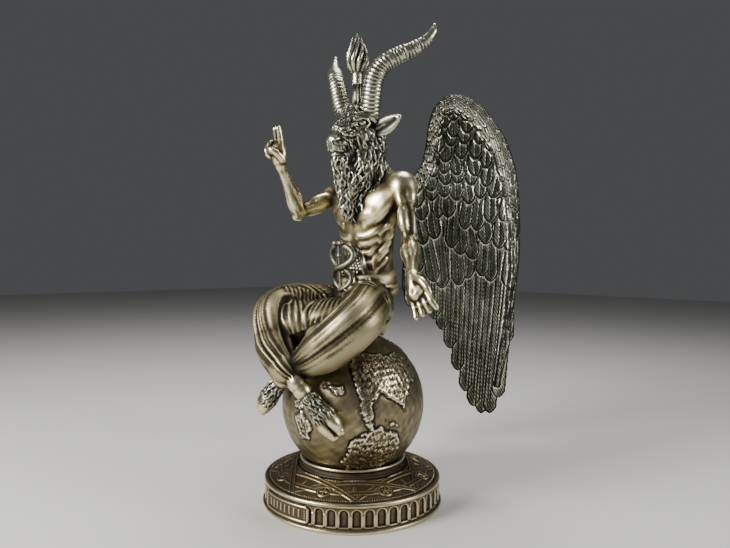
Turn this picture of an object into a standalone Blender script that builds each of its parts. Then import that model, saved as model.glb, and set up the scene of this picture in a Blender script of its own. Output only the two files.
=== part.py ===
"""A seated, goat-headed and winged figurine in cold-cast bronze, on a globe and a round plinth.

The plinth's underside centre is the origin, +Z is up and the figure looks along -Y.
Run it with: blender --background --python part.py
"""
import math

import bmesh
import bpy
from mathutils import Matrix, Vector

# Driving sizes, in metres.
PLINTH_RADIUS = 0.0700
PLINTH_HEIGHT = 0.0210
PLINTH_FOOT_FLARE = 0.0012
PLINTH_FOOT_HEIGHT = 0.0034
RIM_BEAD = 0.0018
WALL_SET_BACK = 0.0010
DOME_RISE = 0.0070
COLLAR_RADIUS = 0.0405
COLLAR_FOOT_RADIUS = 0.0435
COLLAR_WAIST = 0.0022
COLLAR_BEAD = 0.0012
COLLAR_RISE = 0.0072
SEAT_LAND = 0.0009
SEAT_RINGS = 4

ARCH_COUNT = 48
ARCH_WIDTH = 0.0064
ARCH_HEIGHT = 0.0122
ARCH_DEPTH = 0.0012
ARCH_SILL = 0.0010

PLAQUE_SPAN = math.radians(40.0)
PLAQUE_HEIGHT = 0.0125
PLAQUE_STANDS_OUT = 0.0016
PLAQUE_BORDER = 0.0015
PLAQUE_FIELD_DEPTH = 0.0008
STROKE_COUNT = 8
STROKE_WIDTH = 0.0009
STROKE_HEIGHT = 0.0056

STAR_POINTS = 8
STAR_STEP = 2
STAR_TURN = math.radians(3.0)
STRAP_WIDTH = 0.0040
STRAP_RELIEF = 0.0011
STAR_MARGIN = 0.0050

GLOBE_RADIUS = 0.0575
GLOBE_RELIEF = 0.0011
SEAM = 0.0004
BALL_STEPS = 32

FIGURE_HEIGHT = 0.236
SKIN_VOXEL = 0.0013
FIGURE_TRIANGLES = 3000

WING_HEIGHT = 0.2600
WING_SWEEP = math.radians(40.0)
WING_VOXEL = 0.0010
WING_TRIANGLES = 780

ROD_RADIUS = 0.0014
SNAKE_RADIUS = 0.0019
CADUCEUS_VOXEL = 0.0006
CADUCEUS_TRIANGLES = 420

# The globe rests in a hollow seat, whose edge lies just inside the crest of the collar's bead.
COLLAR_TOP = PLINTH_HEIGHT + DOME_RISE + COLLAR_RISE
GLOBE_CENTRE = COLLAR_TOP + math.sqrt(GLOBE_RADIUS ** 2 - (COLLAR_RADIUS - SEAT_LAND) ** 2)
SEAT_LEVEL = GLOBE_CENTRE + GLOBE_RADIUS

# The figure is laid out on a carver's grid: 236 grid units tall, its zero where the globe's top is.
GRID_HEIGHT = 236.0
UNIT = FIGURE_HEIGHT / GRID_HEIGHT
SHOULDER = 33.5
FOLD_COUNT = 7

# The wing has a grid of its own: 260 grid units tall, x out from the spine and y up from the seat level.
WING_GRID_HEIGHT = 260.0
WING_UNIT = WING_HEIGHT / WING_GRID_HEIGHT
WING_ROOT = (12.0, 33.0)
ROOT_PLANE = 2.0

TURN_STEPS = ARCH_COUNT
CORE_STEPS = 20
BRONZE = (0.42, 0.33, 0.20)
DARK_BRONZE = (0.22, 0.19, 0.14)


def clear_scene():
    for obj in list(bpy.data.objects):
        bpy.data.objects.remove(obj)


def new_collection(name, hidden):
    collection = bpy.data.collections.new(name)
    bpy.context.scene.collection.children.link(collection)
    collection.hide_render = hidden
    return collection


def finish(name, colour, roughness):
    """A Principled material in the antique bronze range."""
    material = bpy.data.materials.new(name)
    material.use_nodes = True
    shader = material.node_tree.nodes["Principled BSDF"]
    shader.inputs["Base Color"].default_value = (*colour, 1.0)
    shader.inputs["Metallic"].default_value = 1.0
    shader.inputs["Roughness"].default_value = roughness
    return material


def grid(x, y, z):
    """A point of the figure's grid, in the part's frame."""
    return Vector((x * UNIT, y * UNIT, SEAT_LEVEL + z * UNIT))


def evaluated_mesh(obj):
    bpy.context.view_layer.update()
    graph = bpy.context.evaluated_depsgraph_get()
    return bpy.data.meshes.new_from_object(obj.evaluated_get(graph))


def object_from(name, mesh, collection):
    obj = bpy.data.objects.new(name, mesh)
    collection.objects.link(obj)
    return obj


def smooth_path(points, radii, steps):
    """Points and radii read from a Catmull-Rom curve through the given ones."""
    ends = [points[0] * 2 - points[1], *points, points[-1] * 2 - points[-2]]
    sizes = [radii[0], *radii, radii[-1]]
    path = []
    for i in range(1, len(ends) - 2):
        a, b, c, d = ends[i - 1:i + 3]
        for k in range(steps):
            t = k / steps
            point = 0.5 * (2 * b + (c - a) * t + (2 * a - 5 * b + 4 * c - d) * t ** 2
                           + (3 * b - a - 3 * c + d) * t ** 3)
            path.append((point, sizes[i] + (sizes[i + 1] - sizes[i]) * (3 * t ** 2 - 2 * t ** 3)))
    path.append((points[-1], radii[-1]))
    return path


def new_clay():
    """Clay to model with: balls gather in a mesh and limbs in a curve, until they are fused."""
    limbs = bpy.data.curves.new("limbs", "CURVE")
    limbs.dimensions = "3D"
    limbs.bevel_depth = 1.0
    limbs.bevel_resolution = 3
    limbs.use_fill_caps = True
    return {"balls": bmesh.new(), "limbs": limbs}


def add_ball(clay, centre, radii, turn=None, rings=10):
    """A ball or an egg of clay, with its three radii and an optional turn."""
    place = Matrix.Translation(centre)
    if turn is not None:
        place = place @ turn.to_4x4()
    place = place @ Matrix.Diagonal((*radii, 1.0))
    bmesh.ops.create_uvsphere(clay["balls"], u_segments=2 * rings, v_segments=rings, radius=1.0,
                              matrix=place)


def add_limb(clay, points, radii, steps=4):
    """A round limb of clay along a curve, with round ends."""
    path = smooth_path(points, radii, steps)
    foot = (path[0][0] - path[1][0]).normalized()
    tip = (path[-1][0] - path[-2][0]).normalized()
    rounding = [(share, math.sqrt(1 - share ** 2)) for share in (0.4, 0.75, 0.97)]
    start = [(path[0][0] + foot * radii[0] * out, radii[0] * left) for out, left in reversed(rounding)]
    end = [(path[-1][0] + tip * radii[-1] * out, radii[-1] * left) for out, left in rounding]
    path = start + path + end
    spline = clay["limbs"].splines.new("POLY")
    spline.points.add(len(path) - 1)
    for knot, (point, radius) in zip(spline.points, path):
        knot.co = (*point, 1.0)
        knot.radius = radius


def limbs_mesh(curve):
    """The limbs as one mesh, their caps welded on."""
    guide = bpy.data.objects.new("limbs", curve)
    bpy.context.scene.collection.objects.link(guide)
    mesh = evaluated_mesh(guide)
    bpy.data.objects.remove(guide)
    bpy.data.curves.remove(curve)
    return mesh


def triangle_count(mesh):
    mesh.calc_loop_triangles()
    return len(mesh.loop_triangles)


def fused(name, clay, voxel, smoothing, triangles, collection):
    """Fuses overlapping clay into one skin and thins it to the wanted number of triangles."""
    limbs = limbs_mesh(clay["limbs"])
    clay["balls"].from_mesh(limbs)
    bpy.data.meshes.remove(limbs)
    bmesh.ops.remove_doubles(clay["balls"], verts=clay["balls"].verts, dist=1e-6)
    mesh = bpy.data.meshes.new(name)
    clay["balls"].to_mesh(mesh)
    clay["balls"].free()
    obj = object_from(name, mesh, collection)
    skin = obj.modifiers.new("skin", "REMESH")
    skin.mode = "VOXEL"
    skin.voxel_size = voxel
    if smoothing:
        soften = obj.modifiers.new("soften", "SMOOTH")
        soften.factor = 0.5
        soften.iterations = smoothing
    dense = evaluated_mesh(obj)
    obj.modifiers.clear()
    obj.data = dense
    thin = obj.modifiers.new("thin", "DECIMATE")
    thin.ratio = min(1.0, triangles / triangle_count(dense))
    obj.data = evaluated_mesh(obj)
    obj.modifiers.clear()
    return obj


def cut(obj, cutter, operation="DIFFERENCE"):
    modifier = obj.modifiers.new("cut", "BOOLEAN")
    modifier.operation = operation
    modifier.solver = "EXACT"
    modifier.object = cutter


def settle(obj):
    """Applies the modifiers, so that the object's own mesh is the finished one."""
    obj.data = evaluated_mesh(obj)
    obj.modifiers.clear()


def box_mesh(name, centre, size, turn, collection):
    bpy.ops.mesh.primitive_cube_add(size=1.0, location=centre)
    box = bpy.context.active_object
    box.name = name
    box.matrix_world = Matrix.Translation(centre) @ turn.to_4x4() @ Matrix.Diagonal((*size, 1.0))
    move_to(box, collection)
    return box


def move_to(obj, collection):
    for owner in list(obj.users_collection):
        owner.objects.unlink(obj)
    collection.objects.link(obj)


def hide(obj):
    obj.hide_render = True
    obj.display_type = "WIRE"


def globe_cutter(name, collection):
    """A ball a seam larger than the globe, measured at the middle of its flat faces."""
    radius = (GLOBE_RADIUS + SEAM / 2) / math.cos(math.pi / BALL_STEPS) ** 2
    bpy.ops.mesh.primitive_uv_sphere_add(segments=BALL_STEPS, ring_count=BALL_STEPS // 2,
                                         radius=radius, location=(0.0, 0.0, GLOBE_CENTRE))
    ball = bpy.context.active_object
    ball.name = name
    move_to(ball, collection)
    hide(ball)
    return ball


def turned(name, profile, collection, steps=TURN_STEPS):
    """A turned body: a profile of (radius, height) points from the top of the axis round to its foot."""
    mesh = bpy.data.meshes.new(name)
    points = [(radius, 0.0, height) for radius, height in profile]
    mesh.from_pydata(points, [(i, i + 1) for i in range(len(points) - 1)], [])
    obj = object_from(name, mesh, collection)
    screw = obj.modifiers.new("turn", "SCREW")
    screw.axis = "Z"
    screw.steps = steps
    screw.render_steps = steps
    screw.use_merge_vertices = True
    screw.merge_threshold = 1e-5
    settle(obj)
    return obj


def arc(centre_radius, centre_height, radius, start, end, count):
    """Points of a moulding's round, from one angle to the other."""
    angles = [start + (end - start) * i / count for i in range(count + 1)]
    return [(centre_radius + radius * math.cos(a), centre_height + radius * math.sin(a)) for a in angles]


def plinth_profile():
    """The plinth's turned outline: up the globe's hollow seat, then down the outer side."""
    wall = PLINTH_RADIUS - WALL_SET_BACK
    foot = PLINTH_RADIUS + PLINTH_FOOT_FLARE
    collar_foot_level = PLINTH_HEIGHT + DOME_RISE
    half = math.pi / 2
    lip = math.asin((COLLAR_RADIUS - SEAT_LAND) / GLOBE_RADIUS)
    hollow = (GLOBE_RADIUS + SEAM) / (math.cos(lip / SEAT_RINGS / 2) * math.cos(math.pi / TURN_STEPS))
    profile = arc(0.0, GLOBE_CENTRE, hollow, -half, lip - half, SEAT_RINGS)
    profile += arc(COLLAR_RADIUS, COLLAR_TOP - COLLAR_BEAD, COLLAR_BEAD, half * 0.8, -half, 3)
    profile += [(COLLAR_RADIUS - COLLAR_WAIST * 0.3, collar_foot_level + COLLAR_RISE * 0.45),
                (COLLAR_FOOT_RADIUS - COLLAR_WAIST * 0.5, collar_foot_level + COLLAR_RISE * 0.14),
                (COLLAR_FOOT_RADIUS, collar_foot_level),
                (PLINTH_RADIUS - 2 * RIM_BEAD, PLINTH_HEIGHT)]
    profile += arc(PLINTH_RADIUS - RIM_BEAD, PLINTH_HEIGHT - RIM_BEAD, RIM_BEAD, half, -half * 0.6, 3)
    profile += [(wall, PLINTH_HEIGHT - 2 * RIM_BEAD), (wall, PLINTH_FOOT_HEIGHT),
                (foot, PLINTH_FOOT_HEIGHT * 0.7), (foot, PLINTH_FOOT_HEIGHT * 0.15),
                (foot - PLINTH_FOOT_HEIGHT * 0.15, 0.0), (0.0, 0.0)]
    return profile


def relief_profile():
    """The sloping top again, higher by the straps' relief, and carried on under the collar."""
    slope = DOME_RISE / (PLINTH_RADIUS - 2 * RIM_BEAD - COLLAR_FOOT_RADIUS)
    inner = COLLAR_FOOT_RADIUS - COLLAR_WAIST
    outer = PLINTH_RADIUS - 2 * RIM_BEAD
    peak = PLINTH_HEIGHT + STRAP_RELIEF + slope * (outer - inner)
    return [(0.0, peak), (inner, peak), (outer, PLINTH_HEIGHT + STRAP_RELIEF), (outer, 0.0), (0.0, 0.0)]


def arch_mesh(name, angle, collection):
    """One round-headed niche's cutter, standing across the plinth's wall."""
    half = ARCH_WIDTH / 2
    springing = ARCH_HEIGHT - half
    head = [(half * math.cos(a), springing + half * math.sin(a))
            for a in [math.pi * i / 3 for i in range(4)]]
    outline = [(-half, 0.0), (half, 0.0), *head]
    inner = PLINTH_RADIUS - WALL_SET_BACK - ARCH_DEPTH
    outer = PLINTH_RADIUS + 2 * PLINTH_FOOT_FLARE
    curve = bpy.data.curves.new(name, "CURVE")
    curve.dimensions = "2D"
    curve.fill_mode = "BOTH"
    curve.extrude = (outer - inner) / 2
    spline = curve.splines.new("POLY")
    spline.use_cyclic_u = True
    spline.points.add(len(outline) - 1)
    for knot, (x, z) in zip(spline.points, outline):
        knot.co = (x, z, 0.0, 1.0)
    guide = bpy.data.objects.new(name, curve)
    bpy.context.scene.collection.objects.link(guide)
    mesh = evaluated_mesh(guide)
    part = bmesh.new()
    part.from_mesh(mesh)
    bmesh.ops.remove_doubles(part, verts=part.verts, dist=1e-6)
    bmesh.ops.recalc_face_normals(part, faces=part.faces)
    part.to_mesh(mesh)
    part.free()
    bpy.data.objects.remove(guide)
    place = (Matrix.Rotation(angle, 4, "Z")
             @ Matrix.Translation((0.0, -(inner + outer) / 2, PLINTH_FOOT_HEIGHT + ARCH_SILL))
             @ Matrix.Rotation(math.pi / 2, 4, "X"))
    mesh.transform(place)
    return mesh


def arcade_cutter(collection):
    """All niches of the arcade, which stops at the plaque on the front."""
    niches = bmesh.new()
    for i in range(ARCH_COUNT):
        angle = 2 * math.pi * (i + 0.5) / ARCH_COUNT
        from_front = min(angle, 2 * math.pi - angle)
        if from_front * PLINTH_RADIUS < PLAQUE_SPAN / 2 * PLINTH_RADIUS + ARCH_WIDTH * 0.75:
            continue
        mesh = arch_mesh("niche", angle, collection)
        niches.from_mesh(mesh)
        bpy.data.meshes.remove(mesh)
    mesh = bpy.data.meshes.new("arcade")
    niches.to_mesh(mesh)
    niches.free()
    obj = object_from("arcade", mesh, collection)
    hide(obj)
    return obj


def bent_block(clay, span, height, low, inner, outer, middle=0.0, columns=7):
    """A block bent round the plinth: an angle span, a height and two radii."""
    rings = []
    for i in range(columns + 1):
        angle = middle + span * (i / columns - 0.5)
        corners = ((inner, low), (outer, low), (outer, low + height), (inner, low + height))
        rings.append([clay.verts.new((radius * math.sin(angle), -radius * math.cos(angle), level))
                      for radius, level in corners])
    for one, other in zip(rings, rings[1:]):
        for k in range(4):
            clay.faces.new((one[k], one[(k + 1) % 4], other[(k + 1) % 4], other[k]))
    clay.faces.new(rings[0])
    clay.faces.new(rings[-1])
    bmesh.ops.recalc_face_normals(clay, faces=clay.faces)


def bent_piece(name, collection, *sizes):
    """A bent block as an object of its own, for a union or a cut."""
    clay = bmesh.new()
    bent_block(clay, *sizes)
    obj = object_from(name, bpy.data.meshes.new(name), collection)
    clay.to_mesh(obj.data)
    clay.free()
    hide(obj)
    return obj


def plaque_mesh(collection):
    """The raised plaque on the front of the wall: a border round a sunk field with upright strokes."""
    wall = PLINTH_RADIUS - WALL_SET_BACK
    root = wall - 0.0020
    face = wall + PLAQUE_STANDS_OUT
    field = face - PLAQUE_FIELD_DEPTH
    low = PLINTH_FOOT_HEIGHT + (PLINTH_HEIGHT - 2 * RIM_BEAD - PLINTH_FOOT_HEIGHT - PLAQUE_HEIGHT) / 2
    plate = bent_piece("plaque", collection, PLAQUE_SPAN, PLAQUE_HEIGHT, low, root, face)
    inner_span = PLAQUE_SPAN - 2 * PLAQUE_BORDER / wall
    cut(plate, bent_piece("field", collection, inner_span, PLAQUE_HEIGHT - 2 * PLAQUE_BORDER,
                          low + PLAQUE_BORDER, field, face + 0.002))
    middle = low + (PLAQUE_HEIGHT - STROKE_HEIGHT) / 2
    for i in range(STROKE_COUNT):
        turn = (i / (STROKE_COUNT - 1) - 0.5) * inner_span * 0.8
        stroke = bent_piece("stroke", collection, STROKE_WIDTH / wall, STROKE_HEIGHT, middle,
                            field - 0.0005, face - 0.0002, turn, 1)
        cut(plate, stroke, "UNION")
    settle(plate)
    return plate


def star_mesh(collection):
    """The interlaced star's straps, standing straight up through the dome."""
    radius = PLINTH_RADIUS - STAR_MARGIN
    low = PLINTH_HEIGHT - 2 * STRAP_RELIEF
    star = None
    for i in range(STAR_POINTS):
        a = 2 * math.pi * i / STAR_POINTS + STAR_TURN
        b = a + 2 * math.pi * STAR_STEP / STAR_POINTS
        start = Vector((radius * math.sin(a), -radius * math.cos(a), 0.0))
        end = Vector((radius * math.sin(b), -radius * math.cos(b), 0.0))
        along = end - start
        turn = Matrix.Rotation(math.atan2(along.y, along.x), 3, "Z")
        tall = 2 * DOME_RISE + 0.0001 * i
        centre = (start + end) / 2 + Vector((0, 0, low + tall / 2 - 0.00005 * i))
        strap = box_mesh("strap", centre, (along.length, STRAP_WIDTH, tall), turn, collection)
        hide(strap)
        if star is None:
            star = strap
        else:
            cut(star, strap, "UNION")
    settle_world(star)
    star.name = "star"
    return star


def settle_world(obj):
    """Applies the modifiers and the object's own transform."""
    mesh = evaluated_mesh(obj)
    mesh.transform(obj.matrix_world)
    obj.modifiers.clear()
    obj.data = mesh
    obj.matrix_world = Matrix.Identity(4)


def make_plinth(parts, cutters):
    """The round base: arcade wall, plaque, star relief on a low dome, and the globe's collar."""
    plinth = turned("plinth", plinth_profile(), parts)
    raised = turned("raised", relief_profile(), cutters, TURN_STEPS // 2)
    core_radius = COLLAR_FOOT_RADIUS - COLLAR_WAIST
    core = turned("core", [(0.0, 2 * COLLAR_TOP), (core_radius, 2 * COLLAR_TOP), (core_radius, 0.0),
                           (0.0, 0.0)], cutters, CORE_STEPS)
    star = star_mesh(cutters)
    cut(star, raised, "INTERSECT")
    cut(star, core)
    settle(star)
    for guide in (raised, core, star):
        hide(guide)
    cut(plinth, arcade_cutter(cutters))
    cut(plinth, plaque_mesh(cutters), "UNION")
    cut(plinth, star, "UNION")
    settle(plinth)
    return plinth


# The coasts of the land on the globe: longitude and latitude of their corners, in degrees. Longitude counts
# from the front towards the figure's left.
COASTS = (
    ((44, 37), (51, 14), (54, 2), (58, -8), (63, -8), (62, 12), (66, 20), (84, 10), (91, 12), (98, 20),
     (112, 26), (119, 37), (104, 47), (82, 49), (60, 52), (46, 48)),
    ((58, -9), (66, -7), (81, -12), (87, -22), (91, -37), (76, -47), (60, -62), (46, -56), (40, -46),
     (35, -38), (45, -18)),
    ((-5, -2), (5, 2), (12, -7), (9, -19), (1, -20)),
    ((140, 52), (150, 34), (142, 20), (146, 4), (158, 2), (172, -34), (184, -30), (192, -8), (200, 10),
     (214, 22), (226, 8), (246, 36), (262, 44), (250, 58), (210, 66), (170, 64)),
    ((244, -14), (262, -12), (268, -26), (258, -38), (242, -34), (236, -24)),
    ((-34, 22), (-24, 30), (-16, 44), (-30, 54), (-44, 40)),
)
SHORE = 3.0


def inland(coast, longitude, latitude):
    """How far inside the coast a place is, in degrees; below zero it is at sea."""
    middle = sum(lon for lon, _ in coast) / len(coast)
    shrink = math.cos(math.radians(latitude))
    here = (longitude - middle + 180) % 360 - 180
    gap = 90.0
    inside = False
    for (lon0, lat0), (lon1, lat1) in zip(coast, coast[1:] + coast[:1]):
        run = (lon1 - lon0) * shrink
        climb = lat1 - lat0
        east = (here - (lon0 - middle)) * shrink
        north = latitude - lat0
        share = min(1.0, max(0.0, (east * run + north * climb) / (run ** 2 + climb ** 2)))
        gap = min(gap, math.hypot(east - share * run, north - share * climb))
        if (lat0 > latitude) != (lat1 > latitude) and east < north / climb * run:
            inside = not inside
    return gap if inside else -gap


def land_height(direction):
    """How far the land stands out there, from 0 to 1."""
    longitude = math.degrees(math.atan2(direction.x, -direction.y))
    latitude = math.degrees(math.asin(max(-1.0, min(1.0, direction.z))))
    depth = max(inland(coast, longitude, latitude) for coast in COASTS)
    return min(1.0, max(0.0, depth / SHORE + 0.5))


def make_globe(parts):
    """The globe, with its land standing a little proud of the sea."""
    bpy.ops.mesh.primitive_ico_sphere_add(subdivisions=4, radius=1.0)
    globe = bpy.context.active_object
    globe.name = "globe"
    move_to(globe, parts)
    for vert in globe.data.vertices:
        direction = vert.co.normalized()
        radius = GLOBE_RADIUS - GLOBE_RELIEF * (1.0 - land_height(direction))
        vert.co = direction * radius
    globe.location = (0.0, 0.0, GLOBE_CENTRE)
    return globe


def both_sides(clay, make):
    """Makes the same clay on the figure's left (side 1) and right (side -1)."""
    for side in (1, -1):
        make(clay, side)


def add_torso(clay):
    """The pelvis in its waistband, the hollow belly, the rib cage, shoulders and neck."""
    add_ball(clay, grid(0, 12, 14), (24 * UNIT, 23 * UNIT, 27 * UNIT))
    add_ball(clay, grid(0, 13, 36), (26 * UNIT, 20 * UNIT, 20 * UNIT))
    add_ball(clay, grid(0, 17, 60), (23 * UNIT, 16 * UNIT, 24 * UNIT))
    add_ball(clay, grid(0, 15, 84), (29 * UNIT, 19 * UNIT, 22 * UNIT))
    add_ball(clay, grid(0, 17, 102), (28 * UNIT, 15 * UNIT, 15 * UNIT))
    add_limb(clay, [grid(-33, 20, 112), grid(0, 21, 114), grid(33, 20, 112)],
             [9 * UNIT, 11 * UNIT, 9 * UNIT])
    add_limb(clay, [grid(0, 18, 104), grid(0, 14, 124), grid(0, 10, 145)],
             [15 * UNIT, 14 * UNIT, 15 * UNIT])
    for i in range(3):
        reach = 26.5 + 1.2 * i
        z = 37 - 4.2 * i
        band = [grid(reach * math.sin(a), 13 - 0.82 * reach * math.cos(a), z - 2.0 * math.cos(a))
                for a in [math.radians(-135 + 27 * k) for k in range(11)]]
        add_limb(clay, band, [2.1 * UNIT] * 11, steps=2)
    both_sides(clay, add_chest_side)


def add_chest_side(clay, side):
    """A breast muscle, ribs, the deltoid and the slope from neck to shoulder."""
    add_ball(clay, grid(side * 14, 3.5, 98), (13 * UNIT, 7 * UNIT, 9 * UNIT))
    add_ball(clay, grid(side * 34, 19.5, 112), (11 * UNIT, 12 * UNIT, 13 * UNIT))
    add_limb(clay, [grid(side * 8, 20, 126), grid(side * 20, 21, 119), grid(side * 32, 20, 115)],
             [9 * UNIT, 8 * UNIT, 9 * UNIT])
    add_limb(clay, [grid(side * 27, 17, 100), grid(side * 26, 19, 84), grid(side * 23, 20, 66)],
             [7 * UNIT, 6 * UNIT, 4 * UNIT])
    for i in range(5):
        z = 87 - 7.0 * i
        lift = 0.6 * i
        add_limb(clay, [grid(side * (4 + 2.2 * i), -2.6 + lift, z - 4), grid(side * 15, 0.2 + lift, z - 6),
                        grid(side * 24, 8, z - 2), grid(side * 28 - side * i, 17, z + 4)],
                 [2.3 * UNIT, 2.6 * UNIT, 2.5 * UNIT, 2.0 * UNIT], steps=3)
    add_ball(clay, grid(side * 12, 32, 102), (6 * UNIT, 6 * UNIT, 16 * UNIT))
    for i in range(2):
        add_ball(clay, grid(side * 6, -3.5 + i, 62 - 11 * i), (5 * UNIT, 3.5 * UNIT, 5 * UNIT), rings=8)


def add_right_arm(clay):
    """The raised arm: two fingers point up, the others fold over the palm."""
    add_limb(clay, [grid(-SHOULDER, 19, 112), grid(-39, 2, 102), grid(-43, -14, 96.5),
                    grid(-42.2, -23, 95)],
             [10 * UNIT, 10 * UNIT, 8.6 * UNIT, 7.4 * UNIT])
    add_limb(clay, [grid(-42.2, -23, 95), grid(-42.5, -31, 106), grid(-41, -38, 118),
                    grid(-38.5, -45, 131)],
             [7.2 * UNIT, 8.2 * UNIT, 6.6 * UNIT, 4.9 * UNIT])
    add_ball(clay, grid(-38, -46.5, 139), (7 * UNIT, 5 * UNIT, 9 * UNIT))
    for x in (-35.0, -39.8):
        add_limb(clay, [grid(x, -47, 144), grid(x + 0.4, -49, 153), grid(x + 0.8, -52, 163)],
                 [3.0 * UNIT, 2.7 * UNIT, 2.4 * UNIT])
    for x, drop in ((-42.8, 0.0), (-45.6, 3.0)):
        add_limb(clay, [grid(x + 1, -48, 146 - drop), grid(x, -53.5, 147 - drop),
                        grid(x + 0.5, -55.5, 142 - drop), grid(x + 1, -51.5, 139 - drop)], [2.7 * UNIT] * 4)
    add_limb(clay, [grid(-33, -47, 135), grid(-34, -53, 140), grid(-39, -56, 143.5)],
             [3.3 * UNIT, 2.9 * UNIT, 2.5 * UNIT])


def add_left_arm(clay):
    """The lowered arm, its open palm turned to the front."""
    add_limb(clay, [grid(SHOULDER, 19, 112), grid(41, 14, 98), grid(47, 10, 84), grid(50.5, 8, 70)],
             [10.5 * UNIT, 10.8 * UNIT, 9.2 * UNIT, 7.8 * UNIT])
    add_limb(clay, [grid(50.5, 8, 70), grid(58, 1, 61), grid(66, -7, 52), grid(73, -13, 44)],
             [7.8 * UNIT, 8.6 * UNIT, 6.8 * UNIT, 5.2 * UNIT])
    add_ball(clay, grid(76.5, -15, 37), (7.5 * UNIT, 4.6 * UNIT, 9 * UNIT), Matrix.Rotation(-0.5, 3, "Y"))
    for i in range(4):
        start = grid(73.0 + 3.6 * i, -15.5 + 1.0 * i, 34.5 + 1.6 * i)
        reach = grid(75 + 5.4 * i, -18.5 + 1.4 * i, 18.5 + 2.6 * i)
        add_limb(clay, [start, (start + reach) / 2 - Vector((0, 1.2 * UNIT, 0)), reach],
                 [2.9 * UNIT, 2.6 * UNIT, 2.2 * UNIT])
    add_limb(clay, [grid(76, -16, 43), grid(83, -17, 40), grid(89, -16, 35)],
             [3.6 * UNIT, 3.0 * UNIT, 2.3 * UNIT])


def add_head(clay):
    """The goat's head: skull, muzzle, jaw, mane and beard."""
    add_ball(clay, grid(0, 8, 160), (17 * UNIT, 19 * UNIT, 20 * UNIT))
    add_limb(clay, [grid(0, -1, 168), grid(0, -9.5, 161), grid(0, -17, 153), grid(0, -21.3, 147)],
             [12.5 * UNIT, 11 * UNIT, 9 * UNIT, 7.2 * UNIT])
    add_limb(clay, [grid(0, -4, 144), grid(0, -14, 138), grid(0, -20.5, 134.5)],
             [11 * UNIT, 8 * UNIT, 5.6 * UNIT])
    add_limb(clay, [grid(0, 8, 150), grid(0, 6, 134), grid(0, 2.5, 122), grid(0, -2, 112), grid(0, -6, 103),
                    grid(0, -8.5, 95), grid(0, -10.5, 87)],
             [21.5 * UNIT, 21 * UNIT, 19 * UNIT, 15 * UNIT, 10 * UNIT, 6 * UNIT, 2.5 * UNIT])
    both_sides(clay, add_head_side)
    for i in range(9):
        across = (i - 4) / 4
        back = 16 * across ** 2
        add_limb(clay, [grid(across * 9, -22 + 5 * across ** 2, 132),
                        grid(across * 17, -21.5 + back, 117),
                        grid(across * 12 + 2.5 * (i % 2), -17 + back * 0.8, 105),
                        grid(across * 7 - 2 * (i % 2), -13.5 + back * 0.5, 97 + 5 * abs(across)),
                        grid(across * 3, -11 + back * 0.3, 88 + 14 * abs(across))],
                 [2.8 * UNIT, 3.2 * UNIT, 2.9 * UNIT, 2.4 * UNIT, 1.3 * UNIT], steps=3)


def add_head_side(clay, side):
    """Brow, eye, mane locks, ear and horn of one side."""
    add_limb(clay, [grid(side * 5, -10, 168), grid(side * 12, -5, 169), grid(side * 17, 2, 166)],
             [3 * UNIT, 3 * UNIT, 2.5 * UNIT])
    add_ball(clay, grid(side * 14.2, -2.5, 162), (3.4 * UNIT, 3.4 * UNIT, 3.0 * UNIT), rings=8)
    add_ball(clay, grid(side * 4.5, -25.5, 146), (3.4 * UNIT, 3.0 * UNIT, 2.8 * UNIT), rings=8)
    for i in range(6):
        around = math.radians(40 + 25 * i)
        sweep = 3.0 * (i % 2)
        knots = ((0.80, 158), (1.04, 146), (1.06, 133 + sweep), (0.94, 121), (0.70, 109 - sweep))
        add_limb(clay, [grid(side * 20.5 * share * math.sin(around + 0.12 * (k % 2)),
                             8 - 2 * k - 21 * share * math.cos(around + 0.12 * (k % 2)), z)
                        for k, (share, z) in enumerate(knots)],
                 [2.4 * UNIT, 3.3 * UNIT, 3.4 * UNIT, 3.2 * UNIT, 1.6 * UNIT], steps=3)
    ear = Matrix.Rotation(side * math.radians(24), 3, "Z") @ Matrix.Rotation(-side * math.radians(26), 3, "Y")
    add_ball(clay, grid(side * 29, 5.5, 160), (13 * UNIT, 2.6 * UNIT, 6 * UNIT), ear)
    add_horn(clay, side)


def add_horn(clay, side):
    """A ringed horn that rises, sweeps out and back, and turns up at its tip."""
    spine = [(13.5, 3, 170), (17.5, 0.5, 183), (21, 0, 196), (27, 3, 206), (36, 10, 212.5),
             (44, 17, 217), (51, 23, 222.5), (55.2, 27, 229), (56, 28.5, 235)]
    radii = [9.2, 8.6, 7.7, 6.8, 6.0, 5.0, 3.8, 2.5, 0.9]
    path = smooth_path([grid(side * x, y, z) for x, y, z in spine], [r * UNIT for r in radii], 4)
    points = [point for point, _ in path]
    ringed = [radius * (1.08 if i % 2 else 0.88) for i, (_, radius) in enumerate(path)]
    add_limb(clay, points, ringed, steps=2)


def add_torch(clay):
    """The torch between the horns: a stem, a ring and a closed flame."""
    add_limb(clay, [grid(0, 3, 172), grid(0, 2, 188), grid(0, 1.5, 203)], [2.8 * UNIT] * 3)
    add_limb(clay, [grid(0, 1.5, 201), grid(0, 1.5, 204.5)], [3.8 * UNIT] * 2)
    add_limb(clay, [grid(0, 1.5, 205), grid(0, 1.8, 213), grid(0, 2, 221), grid(-0.5, 1.5, 229),
                    grid(0, 1, 234.6)],
             [4.0 * UNIT, 7.2 * UNIT, 6.6 * UNIT, 3.4 * UNIT, 1.2 * UNIT])
    for i in range(5):
        turn = 2 * math.pi * i / 5
        x, y = math.cos(turn), math.sin(turn)
        add_limb(clay, [grid(3 * x, 1.5 + 3 * y, 206), grid(7 * x, 1.8 + 7 * y, 214),
                        grid(6.8 * x - y, 2 + 6.8 * y + x, 222),
                        grid(4.2 * x - 2 * y, 1.5 + 4.2 * y + 2 * x, 229 + i % 2)],
                 [1.8 * UNIT, 2.4 * UNIT, 2.0 * UNIT, 0.9 * UNIT], steps=3)


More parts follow.
